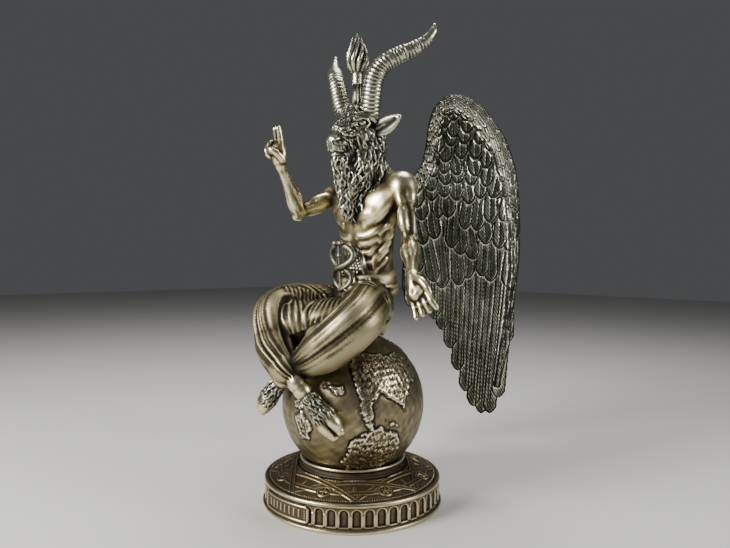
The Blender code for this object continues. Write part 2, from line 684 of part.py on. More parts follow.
def add_legs(clay):
    """The crossed legs in wide trousers, with bound ankles and cloven hooves."""
    right = [grid(-14, 10, 20), grid(-28, -18, 22), grid(-37, -48, 14), grid(-24, -60, -7),
             grid(-4, -67, -22), grid(9, -67.5, -30)]
    left = [grid(14, 10, 20), grid(30, -16, 22), grid(47, -43, 13), grid(33, -55, -4), grid(10, -56, -18),
            grid(-9, -57, -29)]
    right_radii = [16, 18, 17, 15.5, 12, 7]
    left_radii = [16, 18, 18.5, 17.5, 12.5, 7]
    add_limb(clay, right, [r * UNIT for r in right_radii])
    add_limb(clay, left, [r * UNIT for r in left_radii])
    add_ball(clay, grid(0, -30, 6), (34 * UNIT, 30 * UNIT, 19 * UNIT))
    add_ball(clay, grid(-22, -40, 2), (20 * UNIT, 22 * UNIT, 19 * UNIT))
    add_ball(clay, grid(20, -42, 0), (20 * UNIT, 16 * UNIT, 16 * UNIT))
    add_folds(clay, right, right_radii)
    add_folds(clay, left, left_radii)
    add_foot(clay, grid(12, -67.5, -32.5), grid(21, -61.5, -43), grid(27, -57.5, -51),
             grid(34, -52.5, -62.5), 4.2)
    add_foot(clay, grid(-12, -58, -30), grid(-22, -61.5, -42), grid(-27, -63, -49),
             grid(-32, -66, -58.5), 4.0)


def add_folds(clay, knots, radii):
    """Long pleats of the trouser legs, which wind a little as they run from thigh to ankle."""
    for i in range(FOLD_COUNT):
        points = []
        for k in range(1, len(knots)):
            before, after = knots[k - 1], knots[min(k + 1, len(knots) - 1)]
            along = (after - before).normalized()
            side = along.cross(Vector((0, 0, 1))).normalized()
            up = side.cross(along)
            turn = 2 * math.pi * i / FOLD_COUNT + 0.28 * k
            reach = (radii[k] - 0.8) * UNIT
            points.append(knots[k] + (side * math.cos(turn) + up * math.sin(turn)) * reach)
        add_limb(clay, points, [2.2 * UNIT, 3.0 * UNIT, 3.0 * UNIT, 2.6 * UNIT, 1.8 * UNIT], steps=3)


def add_foot(clay, cuff, fetlock, coronet, tip, spread):
    """A bound cuff, the furred fetlock and a cloven hoof."""
    add_limb(clay, [cuff, cuff + (fetlock - cuff) * 0.32], [8.2 * UNIT, 7.8 * UNIT])
    add_limb(clay, [cuff, fetlock, coronet], [6.6 * UNIT, 7.4 * UNIT, 6.6 * UNIT])
    across = (tip - coronet).cross(tip - Vector((0, 0, GLOBE_CENTRE))).normalized() * spread * UNIT
    for share in (-1, 1):
        add_limb(clay, [coronet + across * share * 0.5, (coronet + tip) / 2 + across * share * 0.9,
                        tip + across * share], [5.0 * UNIT, 4.8 * UNIT, 3.0 * UNIT])


def wing_point(x, y, out, side=1):
    """A point of the wing's grid: x outwards, y up from the seat level, out in front of its sheet."""
    bow = 7.0 * ((x - 55) / 50) ** 2 - 5.0
    front = Vector((math.sin(WING_SWEEP), -math.cos(WING_SWEEP), 0.0))
    along = Vector((math.cos(WING_SWEEP), math.sin(WING_SWEEP), 0.0))
    foot = grid(WING_ROOT[0], WING_ROOT[1], 0)
    place = foot + along * x * WING_UNIT + front * (out + bow) * WING_UNIT
    place.z = SEAT_LEVEL + y * WING_UNIT
    return Vector((side * place.x, place.y, place.z))


def add_feather(clay, tip, length, width, lean, out, thick):
    """One feather: a flat blade with a round end, hung from above its tip and standing out there."""
    blade = bmesh.ops.create_uvsphere(clay["balls"], u_segments=8, v_segments=10, radius=1.0)["verts"]
    for vert in blade:
        share = (vert.co.z + 1) / 2
        around = math.sqrt(max(1e-9, 1 - vert.co.z ** 2))
        body = min(1.0, 2.4 * math.sqrt(share)) * (1 - 0.35 * share) if share < 1 else 0.0
        across = vert.co.x / around * body * width / 2
        deep = vert.co.y / around * min(1.0, 4 * math.sqrt(share * (1 - share))) * thick / 2 / WING_UNIT
        rise = share * length
        x = tip[0] + across * math.cos(lean) - math.sin(lean) * rise
        y = tip[1] + across * math.sin(lean) + math.cos(lean) * rise
        vert.co = wing_point(x, y, out * (1 - 0.8 * share) + deep)


def between(stations, x):
    """A height read from a row of (x, height) stations."""
    for (x0, y0), (x1, y1) in zip(stations, stations[1:]):
        if x <= x1:
            return y0 + (y1 - y0) * max(0.0, x - x0) / (x1 - x0)
    return stations[-1][1]


# The wing's lower and upper edges on its grid, then the rows of feathers from the lowest up. A row has
# the line its tips hang to, and its feathers' count, length, width and how far their tips stand out.
WING_FOOT = ((12, 28), (14, 19), (19, 13), (26, 13), (33, 9), (38, 4), (43, -5), (48, -18), (54, -35),
             (59, -49), (64, -59), (69, -67), (76, -70), (82, -67), (85, -60), (88, -45), (91, -30),
             (95, 16), (99, 36), (102, 67))
WING_TOP = ((12, 114), (22, 126), (27, 134), (30, 148), (34, 180), (40, 186), (48, 188), (56, 185),
            (66, 178), (76, 168), (86, 154), (92, 138), (96, 120), (99, 103), (101, 86), (102, 70))
FEATHER_ROWS = (
    (((15, 60), (50, 34), (76, 40), (93, 36)), 9, 46, 11.5, 2.2),
    (((15, 88), (41, 76), (78, 68), (94, 62)), 9, 38, 12.0, 3.0),
    (((16, 104), (50, 104), (67, 92), (93, 90)), 9, 32, 11.5, 3.4),
    (((25, 122), (50, 122), (92, 113)), 8, 28, 11.0, 3.8),
    (((34, 140), (50, 139), (86, 134)), 7, 24, 10.0, 4.0),
    (((37, 157), (76, 151)), 5, 20, 10.0, 4.2),
)
SHEET_THICKNESS = 0.0026
FLIGHT_THICKNESS = 0.0020
COVERT_THICKNESS = 0.0018
WING_ARM = ((2, 98, 8), (12, 112, 7), (21, 122.5, 6), (27, 134, 5), (30, 150, 4.6), (32.5, 168, 4.8),
            (38, 181, 5.4), (48, 186, 6), (60, 182, 6), (74, 169, 5.6), (85, 153, 5), (92, 134, 4.4),
            (96, 112, 4), (98, 88, 3.6), (98, 60, 3.2), (95, 24, 2.8), (90, -16, 2.4), (84, -54, 2))


def make_wing(name, parts):
    """A wing cast in one: its arm, the rows of covert feathers and the long flight feathers."""
    clay = new_clay()
    add_limb(clay, [wing_point(x, y, 1.5) for x, y, _ in WING_ARM], [r * WING_UNIT for _, _, r in WING_ARM],
             steps=3)
    add_limb(clay, [wing_point(-4, 96, 0), wing_point(6, 100, 0), wing_point(16, 106, 0)],
             [8 * WING_UNIT, 8.5 * WING_UNIT, 6 * WING_UNIT])
    for i in range(15):
        x = 14 + 6.0 * i
        foot = between(WING_FOOT, x) + 7
        top = between(WING_TOP, x) - 3
        add_feather(clay, (x, foot), top - foot, 15, 0.0, 0.0, SHEET_THICKNESS)
    for i in range(13):
        share = i / 12
        x = 16 + 70 * share
        foot = between(WING_FOOT, x)
        out = 1.4 + 1.8 * (i % 2)
        add_feather(clay, (x, foot), 64 + 60 * share, 9.0, math.radians(2 - 7 * share), out,
                    FLIGHT_THICKNESS)
    for line, count, length, width, out in FEATHER_ROWS:
        first, last = line[0][0], line[-1][0]
        for i in range(count):
            x = first + (last - first) * i / (count - 1)
            lean = math.radians(6 - 12 * (x - 14) / 84)
            add_feather(clay, (x, between(line, x)), length, width, lean, out + 0.5 * (i % 2),
                        COVERT_THICKNESS)
    return fused(name, clay, WING_VOXEL, 1, WING_TRIANGLES, parts)


def root_box(name, inward, cutters):
    """A block on one side of the plane where the wing's root is joined to the back."""
    along = Vector((math.cos(WING_SWEEP), math.sin(WING_SWEEP), 0.0))
    depth = 40 * UNIT
    gap = SEAM / 2
    centre = wing_point(ROOT_PLANE, 100, 0) + along * (depth / 2 + gap) * (-1 if inward else 1)
    size = (depth, (90 if inward else 26) * UNIT, (260 if inward else 50) * UNIT)
    block = box_mesh(name, centre, size, Matrix.Rotation(WING_SWEEP, 3, "Z"), cutters)
    settle_world(block)
    hide(block)
    return block


def mirrored(obj, name, collection):
    """A copy of a settled piece for the figure's other side."""
    mesh = obj.data.copy()
    mesh.transform(Matrix.Diagonal((-1.0, 1.0, 1.0, 1.0)))
    mesh.flip_normals()
    return object_from(name, mesh, collection)


def make_caduceus(parts):
    """The staff that rises from the lap: a rod with a knob, and two snakes wound round it."""
    clay = new_clay()
    add_limb(clay, [grid(0, -14, 30), grid(0, -15.5, 48), grid(0, -17, 64)], [ROD_RADIUS] * 3)
    add_ball(clay, grid(0, -17, 66), (2.6 * UNIT, 2.6 * UNIT, 2.6 * UNIT), rings=8)
    for side in (1, -1):
        points = []
        radii = []
        for i in range(19):
            turn = 2 * math.pi * i / 18
            wide = 10.5 if turn < math.pi else 12.5
            swing = math.sin(turn)
            z = 31.5 + 33 * i / 18
            y = -14 - 3 * i / 18 + 5.5 * swing ** 2 - side * 1.2 * math.cos(turn)
            points.append(grid(side * wide * swing, y, z))
            radii.append(SNAKE_RADIUS * (0.6 + 0.4 * min(1.0, i / 6)))
        points.append(grid(side * -4.5, -19.5, 67.5))
        radii.append(SNAKE_RADIUS * 1.15)
        add_limb(clay, points, radii, steps=2)
    return fused("caduceus", clay, CADUCEUS_VOXEL, 1, CADUCEUS_TRIANGLES, parts)


def make_figure(parts):
    """The whole seated figure, fused from its clay."""
    clay = new_clay()
    add_torso(clay)
    add_right_arm(clay)
    add_left_arm(clay)
    add_head(clay)
    add_torch(clay)
    add_legs(clay)
    return fused("figure", clay, SKIN_VOXEL, 3, FIGURE_TRIANGLES, parts)


def swollen(obj, name, cutters):
    """A copy of the object, grown by the seam, to cut its neighbours with."""
    twin = object_from(name, obj.data.copy(), cutters)
    grow = twin.modifiers.new("grow", "DISPLACE")
    grow.strength = SEAM
    grow.mid_level = 0.0
    settle(twin)
    hide(twin)
    return twin


def main():
    clear_scene()
    parts = new_collection("horned figurine", hidden=False)
    cutters = new_collection("cutters", hidden=True)
    bronze = finish("bronze", BRONZE, 0.38)
    dark = finish("dark bronze", DARK_BRONZE, 0.45)

    plinth = make_plinth(parts, cutters)
    globe = make_globe(parts)

    figure = make_figure(parts)
    cut(figure, globe_cutter("under", cutters))
    outside = root_box("outside root", False, cutters)
    other_outside = mirrored(outside, "other outside root", cutters)
    hide(other_outside)
    cut(figure, outside)
    cut(figure, other_outside)
    settle(figure)
    room = swollen(figure, "room for the figure", cutters)

    wing = make_wing("wing_left", parts)
    cut(wing, root_box("inside root", True, cutters))
    other_room = mirrored(room, "room for the figure's other side", cutters)
    hide(other_room)
    cut(wing, room)
    cut(wing, other_room)
    settle(wing)
    other_wing = mirrored(wing, "wing_right", parts)
    caduceus = make_caduceus(parts)
    cut(caduceus, room)
    settle(caduceus)

    for obj, material in ((plinth, bronze), (globe, bronze), (figure, bronze), (wing, dark),
                          (other_wing, dark), (caduceus, dark)):
        obj.data.materials.clear()
        obj.data.materials.append(material)
        obj.data.shade_smooth()
        obj.data.set_sharp_from_angle(angle=math.radians(35))


main()
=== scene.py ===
"""A horned, winged statuette in cold-cast bronze, seated on a globe, on a pale studio floor."""
import math

import bmesh
import bpy
import numpy as np
from mathutils import Matrix, Vector


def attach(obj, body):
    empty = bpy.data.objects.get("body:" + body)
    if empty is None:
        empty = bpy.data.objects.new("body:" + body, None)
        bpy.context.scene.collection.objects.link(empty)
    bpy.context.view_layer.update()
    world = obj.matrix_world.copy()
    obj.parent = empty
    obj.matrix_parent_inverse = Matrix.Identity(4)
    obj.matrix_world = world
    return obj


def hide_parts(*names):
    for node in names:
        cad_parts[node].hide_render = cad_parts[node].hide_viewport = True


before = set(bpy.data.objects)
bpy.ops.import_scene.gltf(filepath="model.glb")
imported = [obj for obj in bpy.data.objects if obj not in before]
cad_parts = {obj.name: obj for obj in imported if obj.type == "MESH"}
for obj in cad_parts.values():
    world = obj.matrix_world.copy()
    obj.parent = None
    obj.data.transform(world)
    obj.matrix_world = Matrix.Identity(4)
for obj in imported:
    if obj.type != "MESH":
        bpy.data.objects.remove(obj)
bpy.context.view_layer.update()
scene = bpy.context.scene


# The camera stands in front of the figure's left side, a little over half its height, and looks
# slightly down. It is fitted to the photograph's plinth, globe and horn tips.
IMAGE_WIDTH = 730
FOCAL_PIXELS = 609
SENSOR_MM = 36.0
CAMERA_TURN = math.radians(46.0)
CAMERA_BACK = 0.4873
CAMERA_HEIGHT = 0.1911
PITCH, YAW, ROLL = 0.0242, 0.0178, 0.0092


def from_view(side, away, height):
    """A point or direction given beside, away from the camera and up, in the part's frame."""
    return Vector((side * math.cos(CAMERA_TURN) - away * math.sin(CAMERA_TURN),
                   side * math.sin(CAMERA_TURN) + away * math.cos(CAMERA_TURN), height))


camera_data = bpy.data.cameras.new("photo_camera")
camera_data.sensor_width = SENSOR_MM
camera_data.lens = FOCAL_PIXELS / IMAGE_WIDTH * SENSOR_MM
camera_data.clip_start = 0.01
camera = bpy.data.objects.new("photo_camera", camera_data)
scene.collection.objects.link(camera)
scene.camera = camera
forward = from_view(math.sin(YAW) * math.cos(PITCH), math.cos(YAW) * math.cos(PITCH), -math.sin(PITCH))
level = from_view(math.cos(YAW), -math.sin(YAW), 0.0)
upward = level.cross(forward)
right = level * math.cos(ROLL) + upward * math.sin(ROLL)
upward = upward * math.cos(ROLL) - level * math.sin(ROLL)
eye = from_view(0.0, -CAMERA_BACK, CAMERA_HEIGHT)
camera.matrix_world = Matrix((
    (right.x, upward.x, -forward.x, eye.x),
    (right.y, upward.y, -forward.y, eye.y),
    (right.z, upward.z, -forward.z, eye.z),
    (0.0, 0.0, 0.0, 1.0)))


# The plinth is cast in one: a wall with an arcade of round-headed niches, a bent plaque, a sloping top
# with interlaced straps and medallions in relief, and a collar that the globe sits in. It is resin filled
# with bronze powder, brown with antique wax in the recesses and rubbed golden on its rim.
MM = 0.001
PLINTH_RADIUS = 70.0
RIM_LEVEL = 21.0
FOOT_RADIUS = 71.2
FOOT_LEVEL = 3.4
WALL_RADIUS = 69.0
RIM_BEAD = 1.8
TOP_RISE = 7.0
COLLAR_RADIUS = 40.5
COLLAR_FOOT_RADIUS = 43.5
COLLAR_RISE = 7.2
COLLAR_BEAD = 1.2
COLLAR_TOP = RIM_LEVEL + TOP_RISE + COLLAR_RISE
TOP_RADIUS = PLINTH_RADIUS - 2 * RIM_BEAD
TOP_FACING = (0.29, 0.957)
GLOBE_RADIUS = 57.5
SEAT_RADIUS = 57.9
SEAT_EDGE = COLLAR_RADIUS - 0.9
GLOBE_CENTRE = COLLAR_TOP + math.sqrt(GLOBE_RADIUS ** 2 - SEAT_EDGE ** 2)

ARCHES = 48
COLUMNS_PER_ARCH = 14
ARCH_HALF_WIDTH = 3.2
ARCH_SPRINGING = 13.4
ARCH_SILL = 4.4
ARCH_DEPTH = 1.1
PLAQUE_HALF_SPAN = math.radians(20.0)
PLAQUE_MIDDLE = 10.4
PLAQUE_HALF_HEIGHT = 6.25
PLAQUE_OUT = 1.6
PLAQUE_BORDER = 1.5
STROKES = 8

STAR_POINTS = 8
STAR_TURN = math.radians(3.0)
STAR_RADIUS = 65.0
STRAP_HALF_WIDTH = 2.0
STRAP_DIP = 2.6
RING_RADIUS = 57.5
MEDALLION_RADIUS = 5.4
LEAF_RADIUS = 52.4
BEADS_RADIUS = 65.4
ROPE_RADIUS = 44.6


def ease(value, start, end):
    """Goes smoothly from 0 to 1 as the value goes from start to end."""
    share = np.clip((value - start) / (end - start), 0.0, 1.0)
    return share * share * (3.0 - 2.0 * share)


def hump(value, width):
    """A smooth ridge of height 1 where the value is 0."""
    return np.exp(-(value / width) ** 2)


def speckle(*places):
    """A rough but repeatable value from -1 to 1 at each place."""
    mixed = sum(np.asarray(p) * k for p, k in zip(places, (12.9898, 78.233, 37.719)))
    return np.modf(np.sin(mixed) * 43758.5453)[0]


def strap(across, along):
    """A flat strap with a rope along each edge."""
    edge = hump(np.abs(across) - 1.5, 0.42) * (0.42 + 0.16 * np.sin(along * 3.9 + across))
    return (0.55 + edge) * (1.0 - ease(np.abs(across), STRAP_HALF_WIDTH - 0.1, STRAP_HALF_WIDTH + 0.35))


def top_relief(radius, angle):
    """The relief on the sloping top: an interlaced star of eight points, a ring and medallions, with leaves,
    a row of beads at the rim and a rope round the collar."""
    angle = angle - STAR_TURN
    x, y = radius * np.sin(angle), -radius * np.cos(angle)
    near = STAR_RADIUS * math.cos(2 * math.pi / STAR_POINTS)
    height = 0.12 * speckle(np.round(x / 0.7), np.round(y / 0.7))
    ring = strap(radius - RING_RADIUS, RING_RADIUS * angle)
    straps = np.zeros_like(radius)
    for i in range(STAR_POINTS):
        turn = 2 * math.pi * i / STAR_POINTS
        across = x * math.sin(turn) - y * math.cos(turn) - near
        along = x * math.cos(turn) + y * math.sin(turn)
        crossing = near * math.tan(math.pi / STAR_POINTS)
        under = hump(along + crossing, STRAP_DIP) + hump(radius - RING_RADIUS, STRAP_DIP) * (along < 0)
        straps = np.maximum(straps, strap(across, along) * (1.0 - 0.6 * np.clip(under, 0.0, 1.0)))
        ring = ring * (1.0 - 0.6 * hump(across, STRAP_DIP) * (along > 0))
    height = np.maximum(height, np.maximum(straps, ring))
    for i in range(STAR_POINTS):
        turn = 2 * math.pi * (i + 0.5) / STAR_POINTS
        dx, dy = x - RING_RADIUS * math.sin(turn), y + RING_RADIUS * math.cos(turn)
        reach = np.hypot(dx, dy)
        around = np.arctan2(dy, dx) - turn
        petals = 4 + i % 3
        flower = 0.6 * ease(2.0 + 1.7 * np.cos(petals * around) - reach, -0.5, 0.7)
        flower += 0.45 * hump(reach, 0.9)
        disc = 0.35 + 0.65 * hump(reach - MEDALLION_RADIUS + 0.7, 0.55) + flower
        inside = 1.0 - ease(reach, MEDALLION_RADIUS - 0.1, MEDALLION_RADIUS + 0.3)
        height = np.where(inside > 0.0, height * (1.0 - inside) + disc * inside, height)
        point = 2 * math.pi * i / STAR_POINTS
        across = x * math.cos(point) + y * math.sin(point)
        along = x * math.sin(point) - y * math.cos(point) - LEAF_RADIUS
        leaf = 1.0 - (across / 1.9) ** 2 - (along / 3.4) ** 2
        height = height + 0.6 * ease(leaf, 0.0, 0.5) * (0.75 + 0.25 * np.abs(np.sin(3.0 * across + along)))
    beads = 0.35 + 0.35 * np.cos(angle * STAR_RADIUS / 1.7 * 2 * math.pi)
    height = np.maximum(height, 1.5 * hump(radius - BEADS_RADIUS, 0.6) * beads)
    return height + 0.5 * hump(radius - ROPE_RADIUS, 0.5) * (1.0 + 0.4 * np.sin(angle * 150))


def wall_relief(angle, height):
    """The relief on the wall: niches between little columns, and the plaque at the front."""
    pitch = 2 * math.pi / ARCHES
    place = (np.mod(angle / pitch, 1.0) - 0.5) * pitch * WALL_RADIUS
    side = np.abs(place)
    outline = np.where(height > ARCH_SPRINGING, np.hypot(side, height - ARCH_SPRINGING), side)
    outline = np.maximum(outline - ARCH_HALF_WIDTH, ARCH_SILL - height)
    relief = -ARCH_DEPTH * ease(-outline, -0.1, 0.45) + 0.3 * hump(outline - 0.4, 0.35)
    column = pitch * WALL_RADIUS / 2 - side
    shaft = np.sqrt(np.clip(1.0 - (column / 1.0) ** 2, 0.0, 1.0))
    shaft = shaft * ease(height, 4.6, 5.4) * (1.0 - ease(height, 12.4, 13.0))
    flare = ease(-column, -1.35, -1.0) * (hump(height - 12.7, 0.55) + hump(height - 5.1, 0.6))
    relief = relief + 0.4 * shaft + 0.45 * flare

    from_front = np.mod(angle + math.pi, 2 * math.pi) - math.pi
    across = np.abs(from_front) * WALL_RADIUS - PLAQUE_HALF_SPAN * WALL_RADIUS
    up = np.abs(height - PLAQUE_MIDDLE) - PLAQUE_HALF_HEIGHT
    corner = 2.6
    edge = np.minimum(np.maximum(across, up) + corner, 0.0)
    edge = edge + np.hypot(np.maximum(across + corner, 0.0), np.maximum(up + corner, 0.0)) - corner
    inside = ease(-edge, -0.2, 0.5)
    plate = PLAQUE_OUT - 0.8 * ease(-edge, PLAQUE_BORDER, PLAQUE_BORDER + 0.4)
    plate = plate + 0.2 * hump(edge + 0.7, 0.4)
    spread = PLAQUE_HALF_SPAN * WALL_RADIUS - 5.2
    for i in range(STROKES):
        middle = spread * 0.84 * (2 * i / (STROKES - 1) - 1)
        stroke = ease(0.65 - np.abs(from_front * WALL_RADIUS - middle), -0.2, 0.2)
        plate = plate + 0.55 * stroke * ease(2.8 - np.abs(height - PLAQUE_MIDDLE), -0.2, 0.3)
    beads = hump(across + 3.4, 0.6) * np.abs(np.sin((height - PLAQUE_MIDDLE) * 1.9))
    plate = plate + 0.5 * beads * ease(-up, 1.6, 2.0)
    return relief * (1.0 - inside) + plate * inside


def turned_rows():
    """The plinth's outline from the seat to its foot: rows of radius, height and zone."""
    rows = []
    for turn in np.linspace(0.03, math.asin(SEAT_EDGE / GLOBE_RADIUS), 7):
        rows.append((SEAT_RADIUS * math.sin(turn), GLOBE_CENTRE - SEAT_RADIUS * math.cos(turn), "plain"))
    for turn in np.linspace(math.radians(72), math.radians(-90), 9):
        rows.append((COLLAR_RADIUS + COLLAR_BEAD * math.cos(turn),
                     COLLAR_TOP - COLLAR_BEAD + COLLAR_BEAD * math.sin(turn), "plain"))
    for share in np.linspace(0.1, 0.95, 8):
        radius = COLLAR_RADIUS - 0.7 + 2.6 * share ** 3 + 0.5 * hump((share - 0.86) / 0.08, 1.0)
        rows.append((float(radius), COLLAR_TOP - 2 * COLLAR_BEAD - (COLLAR_RISE - 2 * COLLAR_BEAD) * share,
                     "plain"))
    for share in np.linspace(0.0, 1.0, 62):
        rows.append((COLLAR_FOOT_RADIUS + (TOP_RADIUS - COLLAR_FOOT_RADIUS) * share,
                     RIM_LEVEL + TOP_RISE * (1.0 - share), "top"))
    for turn in np.linspace(math.radians(100), math.radians(-60), 9):
        rows.append((PLINTH_RADIUS - RIM_BEAD + RIM_BEAD * math.cos(turn),
                     RIM_LEVEL - RIM_BEAD + RIM_BEAD * math.sin(turn), "plain"))
    for level_mm in np.linspace(RIM_LEVEL - 2 * RIM_BEAD + 0.2, FOOT_LEVEL + 0.2, 36):
        rows.append((WALL_RADIUS, float(level_mm), "wall"))
    for share in np.linspace(0.0, 1.0, 6):
        rows.append((WALL_RADIUS + (FOOT_RADIUS - WALL_RADIUS) * math.sin(share * math.pi / 2),
                     FOOT_LEVEL - 1.6 * share, "plain"))
    rows.append((FOOT_RADIUS, 0.5, "plain"))
    rows.append((FOOT_RADIUS - 0.5, 0.0, "plain"))
    return rows


def ring_faces(rings, columns, climbing=False):
    """Faces of four corners between closed rings of points, and a cap on each end ring."""
    here = np.arange(columns)
    after = (here + 1) % columns
    low = columns * np.arange(rings - 1)[:, None]
    quads = np.stack([low + here, low + columns + here, low + columns + after, low + after], axis=-1)
    quads, caps = quads.reshape(-1, 4), [here, low[-1] + columns + here[::-1]]
    if climbing:
        quads, caps = quads[:, [0, 3, 2, 1]], [cap[::-1] for cap in caps]
    return quads, caps


def mesh_object(name, points, quads, caps=()):
    """A mesh object from arrays: points in millimetres, faces of four corners and larger caps."""
    corners = np.concatenate([quads.ravel(), *caps]).astype(np.int32)
    sizes = np.array([4] * len(quads) + [len(cap) for cap in caps], np.int32)
    mesh = bpy.data.meshes.new(name)
    mesh.vertices.add(len(points))
    mesh.vertices.foreach_set("co", (np.asarray(points, np.float32) * MM).ravel())
    mesh.loops.add(len(corners))
    mesh.loops.foreach_set("vertex_index", corners)
    mesh.polygons.add(len(sizes))
    mesh.polygons.foreach_set("loop_start", (np.cumsum(sizes) - sizes).astype(np.int32))
    mesh.update(calc_edges=True)
    return linked(name, mesh)


def linked(name, data):
    """An object of that mesh or light, placed in the scene."""
    obj = bpy.data.objects.new(name, data)
    scene.collection.objects.link(obj)
    return obj


def keep_values(mesh, name, values):
    """Keeps one number at each point of the mesh for its material to read: its patina, its painted shade and
    highlight, and its marked parts.
    """
    mesh.attributes.new(name, "FLOAT", "POINT").data.foreach_set("value", values.astype(np.float32))


FINE_ROUNDS = 5
BROAD_ROUNDS = 36


def mark_relief(obj):
    """Keeps how far each point stands out of the surface near it (fine) and round it (broad), in mm.
    The material reads the fine one as wax patina and the broad one as painted shade in the large hollows.
    """
    mesh = obj.data
    mesh.shade_smooth()
    count = len(mesh.vertices)
    places = np.empty(count * 3)
    mesh.vertices.foreach_get("co", places)
    places = places.reshape(-1, 3) / MM
    normals = np.empty(count * 3)
    mesh.vertex_normals.foreach_get("vector", normals)
    normals = normals.reshape(-1, 3)
    edges = np.empty(len(mesh.edges) * 2, np.int32)
    mesh.edges.foreach_get("vertices", edges)
    one, other = edges[0::2], edges[1::2]
    neighbours = np.maximum(np.bincount(one, minlength=count) + np.bincount(other, minlength=count), 1)
    softened = places.copy()
    for done in range(1, BROAD_ROUNDS + 1):
        for axis in range(3):
            values = softened[:, axis]
            total = np.bincount(one, values[other], count) + np.bincount(other, values[one], count)
            softened[:, axis] = 0.5 * values + 0.5 * total / neighbours
        if done in (FINE_ROUNDS, BROAD_ROUNDS):
            keep_values(mesh, "fine" if done == FINE_ROUNDS else "broad",
                        ((places - softened) * normals).sum(axis=1))


def linear(code):
    """An sRGB hex colour as linear red, green, blue and full opacity."""
    values = [int(code[i:i + 2], 16) / 255 for i in (1, 3, 5)]
    return [v / 12.92 if v <= 0.04045 else ((v + 0.055) / 1.055) ** 2.4 for v in values] + [1.0]


def node(tree, kind, settings=(), links=()):
    """Adds a node. Settings are input or attribute names with values; links are inputs with sockets."""
    made = tree.nodes.new(kind)
    for name, value in dict(settings).items():
        if isinstance(name, int) or name in made.inputs:
            made.inputs[name].default_value = value
        else:
            setattr(made, name, value)
    for name, socket in dict(links).items():
        tree.links.new(socket, made.inputs[name])
    return made


BLOTCH_MM = 9.0
GRAIN_MM = 0.9
STROKE_MM = 0.8
RAMP_STOPS = (0.06, 0.36, 0.66, 0.95)


def antique_bronze(name, codes, shine=0.30, fine_gain=1.6, broad_shade_gain=0.45, base=0.42, marked=()):
    """Cold-cast bronze with an antique patina: dark wax lies in the fine recesses, and the raised parts are
    rubbed bright and smooth. The broad hollows between parts are darkened further as painted shade, and the
    broad bulges lightened. The four codes go from wax and painted shade to rubbed metal. Parts of a piece can
    be marked with colours of their own, and the first marked part has no hair strokes in its wax."""
    material = bpy.data.materials.new(name)
    material.use_nodes = True
    tree = material.node_tree
    shader = tree.nodes["Principled BSDF"]

    def noise(size_mm, roughness, place, distortion=0.0):
        return node(tree, "ShaderNodeTexNoise", {"Scale": 1 / (size_mm * MM), "Detail": 3.0,
                                                 "Roughness": roughness, "Distortion": distortion},
                    {"Vector": place}).outputs["Fac"]

    def kept(attribute):
        return node(tree, "ShaderNodeAttribute", {"attribute_name": attribute}).outputs["Fac"]

    def mixed(share, one, other):
        return node(tree, "ShaderNodeMixRGB", {}, {"Fac": share, "Color1": one,
                                                   "Color2": other}).outputs["Color"]

    def added(total, value, gain):
        return node(tree, "ShaderNodeMath", {"operation": "MULTIPLY_ADD", 1: gain},
                    {0: value, 2: total}).outputs[0]

    def ranged(value, start, end, low, high):
        return node(tree, "ShaderNodeMapRange", {"From Min": start, "From Max": end, "To Min": low,
                                                 "To Max": high}, {"Value": value}).outputs["Result"]

    place = node(tree, "ShaderNodeTexCoord").outputs["Object"]
    blotch = noise(BLOTCH_MM, 0.55, place)
    dirt = noise(GRAIN_MM, 0.6, place)
    if marked:
        drawn = node(tree, "ShaderNodeMapping", {"Scale": (1.0, 1.0, 0.16)}, {"Vector": place})
        dirt = mixed(kept(marked[0][0]), noise(STROKE_MM, 0.6, drawn.outputs["Vector"], 0.5), dirt)
    patina_and_painted_shade = node(tree, "ShaderNodeMath", {"operation": "MULTIPLY_ADD", 1: fine_gain, 2: base},
                {0: kept("fine")}).outputs[0]
    # The broad term is painted shade: it darkens the large hollows between parts and lightens the large
    # bulges.
    for value, gain in ((kept("broad"), broad_shade_gain), (blotch, 0.34), (dirt, 0.30)):
        patina_and_painted_shade = added(patina_and_painted_shade, value, gain)
    patina_and_painted_shade = node(tree, "ShaderNodeMath", {"operation": "SUBTRACT", 1: 0.32, "use_clamp": True},
                {0: patina_and_painted_shade}).outputs[0]

    def ramp_of(four_codes):
        ramp = node(tree, "ShaderNodeValToRGB", {}, {"Fac": patina_and_painted_shade})
        stops = ramp.color_ramp.elements
        for stop, code in zip(RAMP_STOPS, four_codes):
            stops.new(stop).color = linear(code)
        stops.remove(stops[0])
        stops.remove(stops[-1])
        return ramp.outputs["Color"]

    rough = ranged(patina_and_painted_shade, 0.1, 0.85, shine + 0.34, shine)
    colour = ramp_of(codes)
    for attribute, four_codes, duller in marked:
        here = kept(attribute)
        colour = mixed(here, colour, ramp_of(four_codes))
        rough = added(rough, here, duller)
    bump = node(tree, "ShaderNodeBump", {"Strength": 0.45, "Distance": 0.12 * MM}, {"Height": dirt})
    for socket, value in (("Base Color", colour), ("Roughness", rough),
                          ("Metallic", ranged(patina_and_painted_shade, 0.0, 0.4, 0.55, 1.0)),
                          ("Normal", bump.outputs["Normal"])):
        tree.links.new(value, shader.inputs[socket])
    return material


